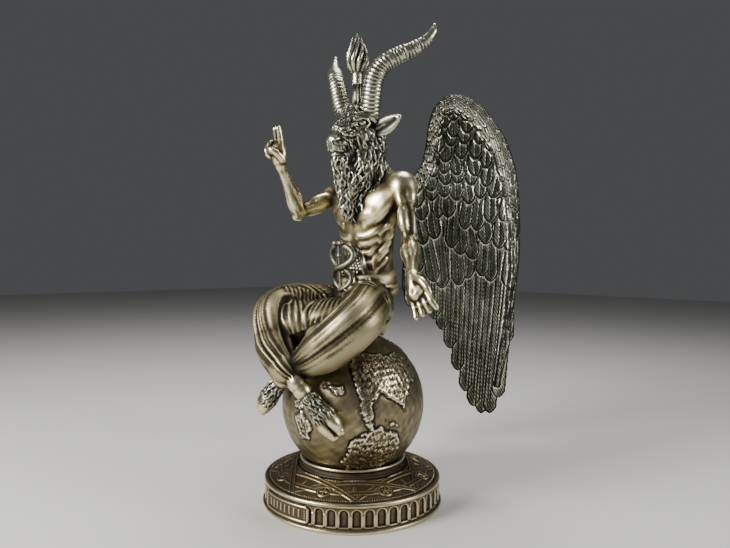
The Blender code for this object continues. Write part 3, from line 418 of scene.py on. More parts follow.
def make_plinth():
    rows = turned_rows()
    columns = ARCHES * COLUMNS_PER_ARCH
    angle = 2 * math.pi * np.arange(columns) / columns
    radii = np.array([row[0] for row in rows])
    heights = np.array([row[1] for row in rows])
    zones = [row[2] for row in rows]
    steps_r, steps_h = np.gradient(radii), np.gradient(heights)
    length = np.hypot(steps_r, steps_h)
    out_r, out_h = -steps_h / length, steps_r / length
    points = []
    for k, zone in enumerate(zones):
        lift = np.zeros(columns)
        if zone == "top":
            lift = top_relief(np.full(columns, radii[k]), angle)
            share = (radii[k] - COLLAR_FOOT_RADIUS) / (TOP_RADIUS - COLLAR_FOOT_RADIUS)
            lift = lift * float(ease(share, 0.0, 0.02) * (1.0 - ease(share, 0.985, 1.0)))
            out_r[k], out_h[k] = TOP_FACING
        elif zone == "wall":
            lift = wall_relief(angle, np.full(columns, heights[k]))
            out_r[k], out_h[k] = 1.0, 0.0
        radius = radii[k] + out_r[k] * lift
        points.append(np.stack([radius * np.sin(angle), -radius * np.cos(angle),
                                heights[k] + out_h[k] * lift], axis=-1))
    return mesh_object("cast_plinth", np.concatenate(points), *ring_faces(len(rows), columns))


plinth = make_plinth()
mark_relief(plinth)
# The material's broad term paints shade into the plinth's large hollows, more lightly than on the other
# parts.
plinth.data.materials.append(antique_bronze(
    "brown antique bronze", ("#120d07", "#564b38", "#918363", "#dccfac"), broad_shade_gain=0.28, base=0.50))
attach(plinth, "root")
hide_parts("plinth")


# The globe is a thick cast ball. Its land stands a little proud of the sea and is pitted and rough, with a
# raised coast, and the sea is smooth with fine scratches from polishing.
GLOBE_RELIEF = 1.1
PATTERN_RADIUS = 57
# Coasts as corners of longitude, from the front to the figure's left, and latitude, in degrees.
LAND = (
    ((44, 37), (49, 24), (51, 14), (54, 2), (58, -8), (62, -10), (60, 2), (62, 12), (66, 20), (75, 14),
     (84, 10), (88, 3), (91, 12), (98, 20), (112, 26), (119, 37), (104, 47), (82, 49), (60, 52), (46, 48)),
    ((58, -9), (66, -7), (81, -12), (87, -22), (91, -37), (76, -47), (60, -62), (46, -56), (40, -46),
     (35, -38), (42, -28), (45, -18)),
    ((-4, -2), (5, 1), (12, -7), (9, -18), (1, -19), (-2, -10)),
    ((-5, 9), (3, 11), (4, 6), (-3, 5)),
    ((23, 23), (30, 19), (40, 18), (39, 26), (29, 24)),
    ((71, -3), (80, -5), (83, -8), (76, -6)),
    ((140, 52), (150, 34), (142, 20), (146, 4), (158, 2), (164, -18), (172, -34), (184, -30), (192, -8),
     (200, 10), (214, 22), (226, 8), (236, 22), (246, 36), (262, 44), (250, 58), (210, 66), (170, 64)),
    ((244, -14), (262, -12), (268, -26), (258, -38), (242, -34), (236, -24)),
    ((-34, 22), (-24, 30), (-16, 44), (-30, 54), (-44, 40)),
)


def land_distance(longitude, latitude):
    """How far inside a coast each place is, in degrees; below zero it is at sea."""
    inside_by = np.full(longitude.shape, -90.0)
    for coast in LAND:
        middle = sum(lon for lon, _ in coast) / len(coast)
        x = (longitude - middle + 180.0) % 360.0 - 180.0
        shrink = np.cos(np.radians(latitude))
        gap = np.full(longitude.shape, 90.0)
        crossings = np.zeros(longitude.shape, bool)
        for (lon0, lat0), (lon1, lat1) in zip(coast, coast[1:] + coast[:1]):
            x0, x1 = lon0 - middle, lon1 - middle
            run, climb = (x1 - x0) * shrink, lat1 - lat0
            share = ((x - x0) * shrink * run + (latitude - lat0) * climb) / (run ** 2 + climb ** 2)
            share = np.clip(share, 0.0, 1.0)
            gap = np.minimum(gap, np.hypot((x - x0) * shrink - share * run, latitude - lat0 - share * climb))
            if lat0 != lat1:
                spans = (lat0 > latitude) != (lat1 > latitude)
                crossings ^= spans & (x < x0 + (latitude - lat0) / climb * (x1 - x0))
        inside_by = np.maximum(inside_by, np.where(crossings, gap, -gap))
    return inside_by


def waves(x, y, z, size, seed):
    """Smooth, repeatable unevenness from about -1 to 1, with humps of the given size."""
    rng = np.random.default_rng(seed)
    total = np.zeros(np.broadcast(x, y, z).shape)
    for _ in range(24):
        a, b, c = rng.normal(size=3) / size * rng.uniform(1.2, 3.4)
        total = total + np.sin(a * x + b * y + c * z + rng.uniform(0, 2 * math.pi))
    return total / 4.8


def make_globe():
    columns, rings = ((420, 210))
    latitude = -np.pi / 2 + np.pi * (np.arange(rings) + 0.5) / rings
    angle = 2 * math.pi * np.arange(columns) / columns
    lat, lon = np.meshgrid(latitude, angle, indexing="ij")
    x, y, z = np.cos(lat) * np.sin(lon), -np.cos(lat) * np.cos(lon), np.sin(lat)
    big, small, tiny = [waves(x * PATTERN_RADIUS, y * PATTERN_RADIUS, z * PATTERN_RADIUS, size, seed)
                        for size, seed in ((7.0, 3), (2.2, 4), (1.0, 5))]
    land = land_distance(np.degrees(lon), np.degrees(lat)) + 1.1 * big + 0.6 * small
    rough = 0.30 * small + 0.24 * tiny + 0.15 * speckle(x, y, z)
    shore = ease(land, -0.5, 0.7)
    height = shore * (0.60 + 0.26 * hump(land - 1.2, 0.9) + 0.55 * rough) - 0.14 * hump(land + 1.4, 0.7)
    height = height + (1.0 - shore) * 0.10 * big
    height = np.clip(height, -0.2, 1.0) - 1.0
    radius = GLOBE_RADIUS + GLOBE_RELIEF * height
    points = np.stack([x * radius, y * radius, GLOBE_CENTRE + z * radius], axis=-1).reshape(-1, 3)
    return mesh_object("cast_globe", points, *ring_faces(rings, columns, climbing=True))


globe = make_globe()
mark_relief(globe)
globe.data.materials.append(antique_bronze(
    "polished antique bronze", ("#14110a", "#625942", "#9d9272", "#efe8cc"), shine=0.26, fine_gain=2.4,
    base=0.44))
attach(globe, "root")
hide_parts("globe")


# The figure is cast in one with its arms, head, horns, torch and crossed legs. It is modelled here the way a
# carver works: clay is laid on in balls, limbs and strands, softened where muscles meet, and cut back.
SEAT_LEVEL = GLOBE_CENTRE + GLOBE_RADIUS
SKIN, CLOTH, HAIR, HORN = 0, 1, 2, 3
FAR = 6.0
FIGURE_CELL = 0.65
FIGURE_BOX = ((-74, -82, -77), (104, 50, 238.6))
FIGURE_TRIANGLES = 190000
GLOBE_GAP = 0.2


class Clay:
    """A block of small cells that each hold their distance to the clay's surface, in millimetres."""

    def __init__(self, low, high, cell):
        self.low, self.cell = np.array(low, float), cell
        shape = np.ceil((np.array(high) - self.low) / cell).astype(int) + 1
        self.field = np.full(shape, FAR, np.float32)
        self.tone = np.zeros(shape, np.uint8)

    def window(self, places, reach):
        """The block's cells within reach of some places, and where they lie along each axis."""
        low, high = np.min(places, axis=0) - reach, np.max(places, axis=0) + reach
        start = np.maximum(np.floor((low - self.low) / self.cell).astype(int), 0)
        end = np.minimum(np.ceil((high - self.low) / self.cell).astype(int) + 1, self.field.shape)
        part = tuple(slice(a, max(a, b)) for a, b in zip(start, end))
        axes = [(self.low[k] + self.cell * np.arange(part[k].start, part[k].stop)).astype(np.float32)
                for k in range(3)]
        return part, axes[0][:, None, None], axes[1][None, :, None], axes[2][None, None, :]

    def lay(self, part, distance, blend, tone, cut):
        """Joins a lump to the clay or cuts it away, with a soft fillet of the blend's width."""
        sign = -1.0 if cut else 1.0
        old = sign * self.field[part]
        new = np.minimum(old, distance)
        if tone is not None and not cut:
            self.tone[part] = np.where(distance < old, np.uint8(tone), self.tone[part])
        if blend > 0:
            mix = np.maximum(blend - np.abs(old - distance), 0.0) / blend
            new = new - mix * mix * (blend / 4)
        self.field[part] = sign * new

    def ball(self, centre, radii, blend=0.0, tone=None, turn=None, cut=False):
        """An egg of clay with three radii, joined or cut away."""
        part, x, y, z = self.window([centre], max(radii) + 1.5 + blend)
        dx, dy, dz = x - centre[0], y - centre[1], z - centre[2]
        if turn is not None:
            dx, dy, dz = [row[0] * dx + row[1] * dy + row[2] * dz for row in turn.transposed()]
        a, b, c = radii
        near = np.sqrt((dx / a) ** 2 + (dy / b) ** 2 + (dz / c) ** 2)
        slope = np.sqrt((dx / a ** 2) ** 2 + (dy / b ** 2) ** 2 + (dz / c ** 2) ** 2)
        self.lay(part, near * (near - 1.0) / np.maximum(slope, 1e-6), blend, tone, cut)

    def limb(self, points, radii, blend=0.0, tone=None, steps=4, cut=False, relief=None):
        """A round limb along a smooth curve through the points, joined or cut away as a whole. A relief lifts
        its surface, from the mm along it, the angle round it and its length."""
        path = smooth_path([Vector(p) for p in points], radii, steps)
        spare = blend + (1.2 if relief is None else 3.4)
        part = self.window([p for p, _ in path], max(radii) + spare)[0]
        whole = np.full(self.field[part].shape, FAR, np.float32)
        if relief is not None:
            along, around, frames = np.zeros_like(whole), np.zeros_like(whole), frames_along(path)
        travelled = 0.0
        for k, ((a, ra), (b, rb)) in enumerate(zip(path, path[1:])):
            near, x, y, z = self.window((a, b), max(ra, rb) + spare)
            inner = tuple(slice(n.start - p.start, n.stop - p.start) for n, p in zip(near, part))
            run = b - a
            share = (x - a.x) * run.x + (y - a.y) * run.y + (z - a.z) * run.z
            share = np.clip(share / max(run.length_squared, 1e-9), 0.0, 1.0)
            dx, dy, dz = x - a.x - share * run.x, y - a.y - share * run.y, z - a.z - share * run.z
            distance = np.sqrt(dx ** 2 + dy ** 2 + dz ** 2) - (ra + (rb - ra) * share)
            if relief is not None:
                flat = [(dx * v.x + dy * v.y + dz * v.z) * (1 - share)
                        + (dx * w.x + dy * w.y + dz * w.z) * share for v, w in zip(frames[k], frames[k + 1])]
                closer = distance < whole[inner]
                along[inner] = np.where(closer, travelled + share * run.length, along[inner])
                around[inner] = np.where(closer, np.arctan2(*flat), around[inner])
                travelled += run.length
            whole[inner] = np.minimum(whole[inner], distance)
        if relief is not None:
            whole = whole - relief(along, around, travelled)
        self.lay(part, whole, blend, tone, cut)

    def depth(self, place):
        """The distance to the surface at a place: above 0 outside the clay."""
        spot = np.clip((np.asarray(place) - self.low) / self.cell, 0, np.array(self.field.shape) - 1.001)
        base = np.floor(spot).astype(int)
        share = spot - base
        near = self.field[base[0]:base[0] + 2, base[1]:base[1] + 2, base[2]:base[2] + 2]
        near = near[0] * (1 - share[0]) + near[1] * share[0]
        near = near[0] * (1 - share[1]) + near[1] * share[1]
        return float(near[0] * (1 - share[2]) + near[1] * share[2])

    def outward(self, place):
        """The direction out of the clay at a place."""
        step = self.cell
        slope = Vector([self.depth([place[k] + step * (k == axis) for k in range(3)])
                        - self.depth([place[k] - step * (k == axis) for k in range(3)]) for axis in range(3)])
        return slope.normalized() if slope.length > 1e-6 else Vector((0, 0, 0))

    def on_skin(self, place, lift=0.0):
        """The nearest place on the clay's surface, or a little above it."""
        place = Vector(place)
        for _ in range(4):
            place = place - self.outward(place) * (self.depth(place) - lift)
        return place

    def strand(self, start, heading, length, radius, wave, phase, knots, lift, blend):
        """A lock of hair that runs over the surface in a heading, waves and thins out. One that would leave
        the surface isn't laid."""
        heading = Vector(heading).normalized()
        place = self.on_skin(start, lift)
        points = [place]
        for k in range(1, knots + 1):
            out = self.outward(place)
            side = heading.cross(out).normalized()
            sway = wave * (math.sin(phase + 1.9 * k) - math.sin(phase + 1.9 * (k - 1)))
            place = self.on_skin(place + heading * (length / knots) + side * sway, lift)
            if self.depth(place) > 1.0:
                return
            points.append(place)
        radii = [radius * (0.55 + 0.45 * math.sin(math.pi * (0.25 + 0.75 * t))) * (1.0 - 0.6 * t ** 3)
                 for t in [k / knots for k in range(knots + 1)]]
        self.limb(points, radii, blend, HAIR, 3)


def smooth_path(points, radii, steps):
    """Points and radii read from a smooth curve through the given ones."""
    ends = [points[0] * 2 - points[1], *points, points[-1] * 2 - points[-2]]
    sizes = [radii[0], *radii, radii[-1]]
    path = []
    for i in range(1, len(ends) - 2):
        a, b, c, d = ends[i - 1:i + 3]
        for k in range(steps):
            t = k / steps
            point = 0.5 * (2 * b + (c - a) * t + (2 * a - 5 * b + 4 * c - d) * t ** 2
                           + (3 * b - a - 3 * c + d) * t ** 3)
            path.append((point, sizes[i] + (sizes[i + 1] - sizes[i]) * (3 * t ** 2 - 2 * t ** 3)))
    path.append((points[-1], radii[-1]))
    return path


def frames_along(path):
    """Two directions square to the path at each of its points, which turn as little as they can."""
    side, frames = Vector((0.31, 0.2, 0.93)), []
    for k in range(len(path)):
        ahead = (path[min(k + 1, len(path) - 1)][0] - path[max(k - 1, 0)][0]).normalized()
        side = (side - ahead * side.dot(ahead)).normalized()
        frames.append((ahead.cross(side), side))
    return frames


def skin_of(clay):
    """The clay's surface: one point in each cell that it crosses, and faces of four corners."""
    field = clay.field
    inside = field < 0.0
    some = np.zeros([n - 1 for n in field.shape], bool)
    every = np.ones_like(some)
    corners = [(i, j, k) for i in (0, 1) for j in (0, 1) for k in (0, 1)]
    for i, j, k in corners:
        shifted = inside[i:inside.shape[0] - 1 + i, j:inside.shape[1] - 1 + j, k:inside.shape[2] - 1 + k]
        some |= shifted
        every &= shifted
    cells = np.argwhere(some & ~every)
    number = np.full(some.shape, -1, np.int32)
    number[tuple(cells.T)] = np.arange(len(cells), dtype=np.int32)
    values = [field[tuple((cells + corner).T)] for corner in corners]
    total = np.zeros((len(cells), 3))
    count = np.zeros(len(cells))
    for a in range(8):
        for b in range(a + 1, 8):
            step = np.subtract(corners[b], corners[a])
            if np.abs(step).sum() != 1:
                continue
            crosses = (values[a] < 0) != (values[b] < 0)
            share = values[a][crosses] / (values[a][crosses] - values[b][crosses])
            total[crosses] += np.array(corners[a]) + share[:, None] * step
            count[crosses] += 1
    points = clay.low + clay.cell * (cells + total / count[:, None])
    faces = []
    for axis in range(3):
        first, second = [(1, 2), (2, 0), (0, 1)][axis]
        ahead = [slice(None)] * 3
        behind = [slice(None)] * 3
        ahead[axis], behind[axis] = slice(1, None), slice(None, -1)
        edge = np.argwhere(inside[tuple(ahead)] != inside[tuple(behind)])
        starts_inside = inside[tuple(edge.T)]
        ring = []
        for back_first, back_second in ((1, 1), (0, 1), (0, 0), (1, 0)):
            cell = edge.copy()
            cell[:, first] -= back_first
            cell[:, second] -= back_second
            ring.append(number[tuple(cell.T)])
        ring = np.stack(ring, axis=-1)
        ring[~starts_inside] = ring[~starts_inside][:, ::-1]
        faces.append(ring)
    tones = clay.tone[tuple(np.round(cells + total / count[:, None]).astype(int).T)]
    return points, np.concatenate(faces), tones


def thinned(obj, triangles):
    """Thins the mesh to the wanted number of triangles, most where it is flat."""
    count = 2 * len(obj.data.polygons)
    if count > triangles:
        modifier = obj.modifiers.new("thin", "DECIMATE")
        modifier.ratio = triangles / count
        bpy.context.view_layer.update()
        graph = bpy.context.evaluated_depsgraph_get()
        obj.data = bpy.data.meshes.new_from_object(obj.evaluated_get(graph))
        obj.modifiers.clear()
    keep_one_body(obj.data)


def keep_one_body(mesh):
    """Deletes the crumbs, bubbles and folded flaps that aren't part of the main skin."""
    edge_of = np.empty(len(mesh.loops), np.int32)
    mesh.loops.foreach_get("edge_index", edge_of)
    corners = np.empty(len(mesh.polygons), np.int32)
    mesh.polygons.foreach_get("loop_total", corners)
    face_of = np.repeat(np.arange(len(corners)), corners)
    shared = np.bincount(edge_of)
    pairs = face_of[np.argsort(edge_of, kind="stable")][np.repeat(shared == 2, shared)].reshape(-1, 2)
    label = np.arange(len(corners))
    while True:
        lowest = np.minimum(label[pairs[:, 0]], label[pairs[:, 1]])
        spread = label.copy()
        np.minimum.at(spread, pairs[:, 0], lowest)
        np.minimum.at(spread, pairs[:, 1], lowest)
        spread = spread[spread]
        if (spread == label).all():
            break
        label = spread
    work = bmesh.new()
    work.from_mesh(mesh)
    work.faces.ensure_lookup_table()
    crumbs = [work.faces[i] for i in np.flatnonzero(label != np.bincount(label).argmax())]
    bmesh.ops.delete(work, geom=crumbs, context="FACES")
    work.to_mesh(mesh)
    work.free()


def both_sides(make, clay):
    for side in (1, -1):
        make(clay, side)


def on_side(side, *points):
    """Places on the figure's left side, or mirrored to its right."""
    return [(side * x, y, z) for x, y, z in points]


def add_torso(clay):
    """The pelvis, the hollow belly, the rib cage, breast, neck and shoulders."""
    for y, z, radii, blend in ((13, 40, (24.0, 18, 16), 6), (17, 60, (22.5, 15.5, 24), 8),
                               (15, 84, (27.5, 17.5, 22), 8), (17, 102, (28, 15, 15), 8)):
        clay.ball((0, y, z), radii, blend, SKIN)
    clay.limb([(-33, 20, 112), (0, 21, 114), (33, 20, 112)], [9, 11, 9], 5, SKIN)
    clay.limb([(0, 18, 104), (0, 14, 124), (0, 10, 145)], [15, 14, 15], 5, SKIN)
    both_sides(add_chest_side, clay)
    clay.limb([(0, -4.4, 104), (0, -5.2, 90), (0, -4.4, 72)], [1.4, 1.5, 1.0], 2.5, cut=True)
    clay.limb([(0, 34, 118), (0, 36, 90), (0, 33, 52)], [1.6, 1.8, 1.4], 2.5, cut=True)
    for row in range(8):
        for k in range(-5, 6):
            x = (k + 0.5 * (row % 2)) * 2.8
            z = 61 - 2.9 * row
            if abs(x) < 1.0 + 0.26 * (70 - z):
                clay.ball(clay.on_skin((x, 2.0, z), -0.1), (1.5, 1.1, 1.6), 0.25, HAIR)


RIB_PITCH = 6.6


def add_chest_side(clay, side):
    """Breast muscle, collar bone, ribs, flank, shoulder blade and the edges of the scaly belly."""
    clay.ball((side * 14.5, 6.4, 99), (15.5, 7.4, 12), 5, SKIN)
    clay.ball((side * 11.0, 2.2, 91.5), (9.0, 4.4, 5.5), 4, SKIN)
    clay.ball((side * 34, 19.5, 112), (11, 12, 13), 4, SKIN)
    clay.limb(on_side(side, (8, 20, 126), (20, 21, 119), (32, 20, 115)), [9, 8, 9], 5, SKIN)
    clay.limb(on_side(side, (5, 5.6, 110), (18, 9.0, 113), (30, 15.0, 116.5)), [1.8, 1.6, 1.6], 3.5, SKIN)
    clay.ball((side * 22, 11, 106), (12, 8, 9), 4, SKIN)
    clay.limb(on_side(side, (33, 12, 107), (28, 8.0, 99), (21, 3.6, 89.5), (12, 0.4, 84)),
              [4.6, 4.2, 3.0, 1.6], 3.2, SKIN)
    clay.limb(on_side(side, (31, 17, 103), (28, 14, 91), (26, 12.5, 78), (23.5, 11, 64)),
              [5.0, 3.4, 2.6, 1.6], 3.0, SKIN)
    for i, (front, bulge) in enumerate(((5, 1.5), (7, 1.8), (9.5, 1.5), (12, 1.7), (14.5, 1.4))):
        z = 82 - RIB_PITCH * i
        rib = [clay.on_skin((side * x, y, z + up), -sunk)
               for x, y, up, sunk in ((front, 0, -7.5, 0.6), (front + 6, 2, -7, 0.4),
                                      (19 + i % 2, 5, -3.5, 0.5), (26, 14, 4.5, 0.9))]
        clay.limb(rib, [bulge * 0.7, bulge, bulge * 0.9, bulge * 0.6], 3.4, SKIN)
    for i in range(5):
        z = 80 - RIB_PITCH * i
        clay.limb([clay.on_skin((side * 26, 13, z + 3), -0.6), clay.on_skin((side * 22.5, 6, z - 3.5), -0.7)],
                  [1.9, 1.3], 1.8, SKIN)
    clay.ball((side * 12, 32, 102), (6, 6, 16), 4, SKIN)
    clay.limb(on_side(side, (5, 34, 112), (5.5, 35, 88), (5, 32, 54)), [3, 3.2, 3], 3, SKIN)
    for i in range(4):
        edge = [clay.on_skin((side * (x + 1.9 * i), 0, z), -0.1)
                for x, z in ((2.2, 65 - i), (4.6, 59), (8.0, 51), (12.5, 42))]
        clay.limb(edge, [0.7, 0.85, 0.95, 1.0], 0.5, HAIR)


# The muscles of an upper arm: points as mm to the front, mm outward and share of the way to the elbow,
# then radii and blend. They are the shoulder cap, its front and back, biceps, triceps and an outer cord.
ARM_MUSCLES = (
    (((0, 4.4, -0.12), (0, 5.6, 0.14), (0, 3.6, 0.44)), (6.0, 5.6, 1.8), 2.2),
    (((4.8, 0, -0.06), (5.4, 0, 0.16), (3.0, 1.6, 0.44)), (4.6, 4.4, 1.8), 1.8),
    (((-4.0, 2, -0.02), (-5.0, 2, 0.16), (-2.8, 2, 0.42)), (4.6, 4.2, 1.8), 1.8),
    (((3.2, 0, 0.26), (4.8, 0, 0.42), (5.2, 0, 0.62), (3.6, 0, 0.90)), (2.6, 4.4, 4.5, 1.9), 1.5),
    (((-3.6, 0, 0.20), (-5.2, 0, 0.42), (-4.8, 0, 0.62), (-3.2, 0, 0.92)), (2.8, 4.4, 4.0, 2.2), 1.5),
    (((-1.2, 4.4, 0.34), (-1.2, 5.4, 0.55), (0, 4.6, 1.0)), (1.6, 2.6, 1.9), 1.4),
)
FOREARM_CORDS = ((-30, 3.4), (35, 3.8), (95, 3.4), (150, 3.2), (215, 3.4), (275, 3.0))
CORD_TWIST = 40
SHOULDER_RADII = (10, 9.5)


def add_muscles(clay, shoulder, elbow, wrist, out, fore):
    """One arm's muscles, the bones at the elbow and the forearm's long cords. The vectors out and fore
    point from the arm's middle to its outer and its front side."""
    shoulder, elbow, wrist = Vector(shoulder), Vector(elbow), Vector(wrist)
    out, fore = Vector(out).normalized(), Vector(fore).normalized()
    upper, lower = elbow - shoulder, wrist - elbow
    clay.limb([shoulder, shoulder + upper * 0.5, elbow], [7.0, 5.4, 5.2], 3, SKIN)
    for path, radii, blend in ARM_MUSCLES:
        clay.limb([shoulder + fore * f + out * o + upper * share for f, o, share in path], radii, blend, SKIN)
    clay.ball(elbow - fore * 4.2, (3.6, 3.6, 3.6), 2.4, SKIN)
    clay.ball(elbow + out * 4.4, (2.8, 2.8, 2.8), 2.0, SKIN)
    clay.limb([elbow, elbow + lower * 0.35, elbow + lower * 0.7, wrist], [5.2, 5.0, 3.8, 3.6], 2, SKIN)
    for degrees, size in FOREARM_CORDS:
        side, twist = [out * math.cos(turn) + fore * math.sin(turn)
                       for turn in (math.radians(degrees), math.radians(degrees + CORD_TWIST))]
        clay.limb([elbow + side * 3.4 - lower * 0.04, elbow + side * 4.9 + lower * 0.26,
                   elbow + side * 2.9 + twist * 0.9 + lower * 0.62, wrist + twist * 2.9],
                  [size * 0.6, size, size * 0.5, 1.1], 1.3, SKIN)


def add_right_arm(clay):
    """The raised arm: two fingers point up together, the others and the thumb close in a ring."""
    clay.limb([(-30, 20, 112), (-34, 19, 112)], SHOULDER_RADII, 4, SKIN)
    add_muscles(clay, (-35.5, 14, 110), (-42.2, -23, 95), (-38.5, -44.5, 130),
                (-0.6, -0.1, 0.8), (0.2, 0.5, 1.0))
    clay.limb([(-38.5, -44.5, 130), (-38.3, -46.2, 136), (-38, -47, 142)], [4.2, 6.0, 6.2], 2, SKIN)
    clay.ball((-34.2, -46, 138), (3.4, 3.2, 6), 1.5, SKIN)
    clay.ball((-41.6, -47, 137), (3.2, 3.2, 6), 1.5, SKIN)
    clay.ball((-38.3, -52.8, 139), (3.4, 1.8, 3.6), 1.0, cut=True)
    for x in (-34.6, -39.0):
        clay.limb([(x, -47, 143), (x + 0.2, -47.8, 148), (x + 0.5, -49, 153), (x + 0.9, -50.4, 157.6)],
                  [2.7, 2.5, 2.45, 2.2], 0.5, SKIN)
        clay.ball((x + 0.2, -48.8, 149.5), (2.5, 1.8, 1.3), 0.6, SKIN)
    for x, drop in ((-41.8, 0.0), (-44.6, 2.6)):
        clay.limb([(x + 0.6, -46.5, 145 - drop), (x, -50.5, 147.6 - drop), (x + 0.2, -53.6, 145 - drop),
                   (x + 1.2, -53.4, 140.8 - drop), (x + 2.2, -50.6, 139 - drop)],
                  [2.5, 2.4, 2.3, 2.1, 1.9], 0.4, SKIN)
    clay.limb([(-33.4, -46.5, 134), (-34, -51, 138.0), (-36.6, -54.4, 140.8), (-40.2, -55.0, 142.0)],
              [3.0, 2.7, 2.3, 1.9], 0.6, SKIN)


def add_left_arm(clay):
    """The lowered arm, its open palm turned to the front with the fingers apart."""
    clay.limb([(30, 20, 112), (34, 19, 112)], SHOULDER_RADII, 4, SKIN)
    add_muscles(clay, (36, 17.5, 108), (50.5, 8, 70), (73, -13, 44.5), (0.85, 0.1, 0.45), (0.25, -0.95, 0.1))
    clay.limb([(73, -13, 44.5), (75, -14.2, 40), (78, -15.5, 33)], [4.2, 5.2, 5.6], 2, SKIN)
    clay.ball((73.6, -15.2, 34.5), (3.2, 3.0, 6), 1.2, SKIN)
    clay.ball((82, -16.2, 37), (3.4, 3.0, 5.4), 1.2, SKIN)
    clay.ball((78.4, -21.6, 36.0), (3.0, 1.8, 4.4), 1.0, cut=True)
    for i in range(4):
        start = Vector((73.6 + 3.7 * i, -15.5 + 0.8 * i, 30.5 + 1.6 * i))
        reach = Vector((80.5 + 4.6 * i, -18.5 + 1.6 * i, 16.8 + 2.6 * i))
        middle = (start + reach) / 2 + Vector((0.8, 0.6 - 0.5 * i, -0.6))
        clay.limb([start, middle, reach], [2.7, 2.5, 1.9], 0.5, SKIN)
        clay.ball(middle + Vector((0, -1.3, 0)), (2.4, 1.4, 1.8), 0.6, SKIN)
    clay.limb([(77, -15, 43), (83.5, -17, 42.4), (88.4, -17.6, 38.6), (91.4, -17.4, 34.6)],
              [3.4, 3.0, 2.5, 1.8], 0.8, SKIN)


HAIR_SEED = 7
ANY_PHASE = 6.3
# The core of the mane and beard as height, middle and radius, and its tiers of locks from the lowest up as
# height, count and length.
MANE_CORE = ((87, -9.0, 1.2), (95, -8.2, 3.2), (103, -6.6, 6.0), (112, -3.6, 9.6), (122, 1.2, 14.0),
             (134, 5.2, 17.6), (150, 7.5, 19.0), (160, 8.0, 17.6), (172, 8.0, 13.0))
MANE_TIERS = ((97, 9, 14), (103, 12, 17), (109, 16, 18), (115, 22, 18), (121, 27, 18), (127, 30, 18),
              (133, 32, 18), (139, 32, 18), (145, 32, 18), (151, 30, 17), (157, 26, 15), (163, 26, 14),
              (168, 24, 13), (172, 20, 12))


def mane_place(z, turn):
    """A place on the core of the mane and beard, from its height and the angle from the front."""
    heights, middles, radii = zip(*MANE_CORE)
    middle, radius = float(np.interp(z, heights, middles)), float(np.interp(z, heights, radii))
    return Vector((radius * math.sin(turn), middle - radius * math.cos(turn), z))


def add_mane(clay):
    """The mane and the long beard: over three hundred wavy locks, laid in tiers from the lowest up."""
    clay.limb([(0, 8, 150), (0, 6, 134), (0, 2.0, 122), (0, -2.5, 112), (0, -6.0, 103), (0, -8, 95),
               (0, -9.0, 88)], [18.8, 17.6, 14.0, 9.6, 6.0, 3.2, 1.2], 0, HAIR)
    rng = np.random.default_rng(HAIR_SEED)
    for start, count, length in MANE_TIERS:
        for i in range(count):
            turn = math.radians(-175 + 350 * (i + rng.uniform(0.1, 0.9)) / count)
            if abs(turn) < math.radians(44 if start < 160 else 100) and start > 136:
                continue
            inward = 1.0 if start < 128 else 0.35
            place = mane_place(start + rng.uniform(-2, 2), turn)
            heading = (-0.42 * inward * math.sin(turn), -0.15 * inward * (1 - math.cos(turn)), -1.0)
            clay.strand(place, heading, length * rng.uniform(0.8, 1.2), rng.uniform(1.0, 1.5),
                        rng.uniform(0.9, 1.9), rng.uniform(0, ANY_PHASE), 6, 0.15, 0.2)
    clay.limb([(0, -14.0, 135), (0, -12.0, 126), (0, -9.5, 117)], [6.8, 6.4, 5.0], 2, HAIR)
    for z, spread, length in ((104, 5, 14), (111, 7, 17), (118, 8, 18), (124, 9, 18), (129, 8, 18),
                              (134, 6.5, 16)):
        for i in range(14):
            across = (i - 6.5 + rng.uniform(-0.3, 0.3)) / 6.5
            clay.strand((across * spread, 15.6 - 0.28 * z + 6 * across ** 2, z), (-0.22 * across, 0.25, -1),
                        length, rng.uniform(0.8, 1.2), rng.uniform(0.6, 1.3), rng.uniform(0, ANY_PHASE),
                        6, 0.15, 0.2)


GOLDEN_TURN = 2.399


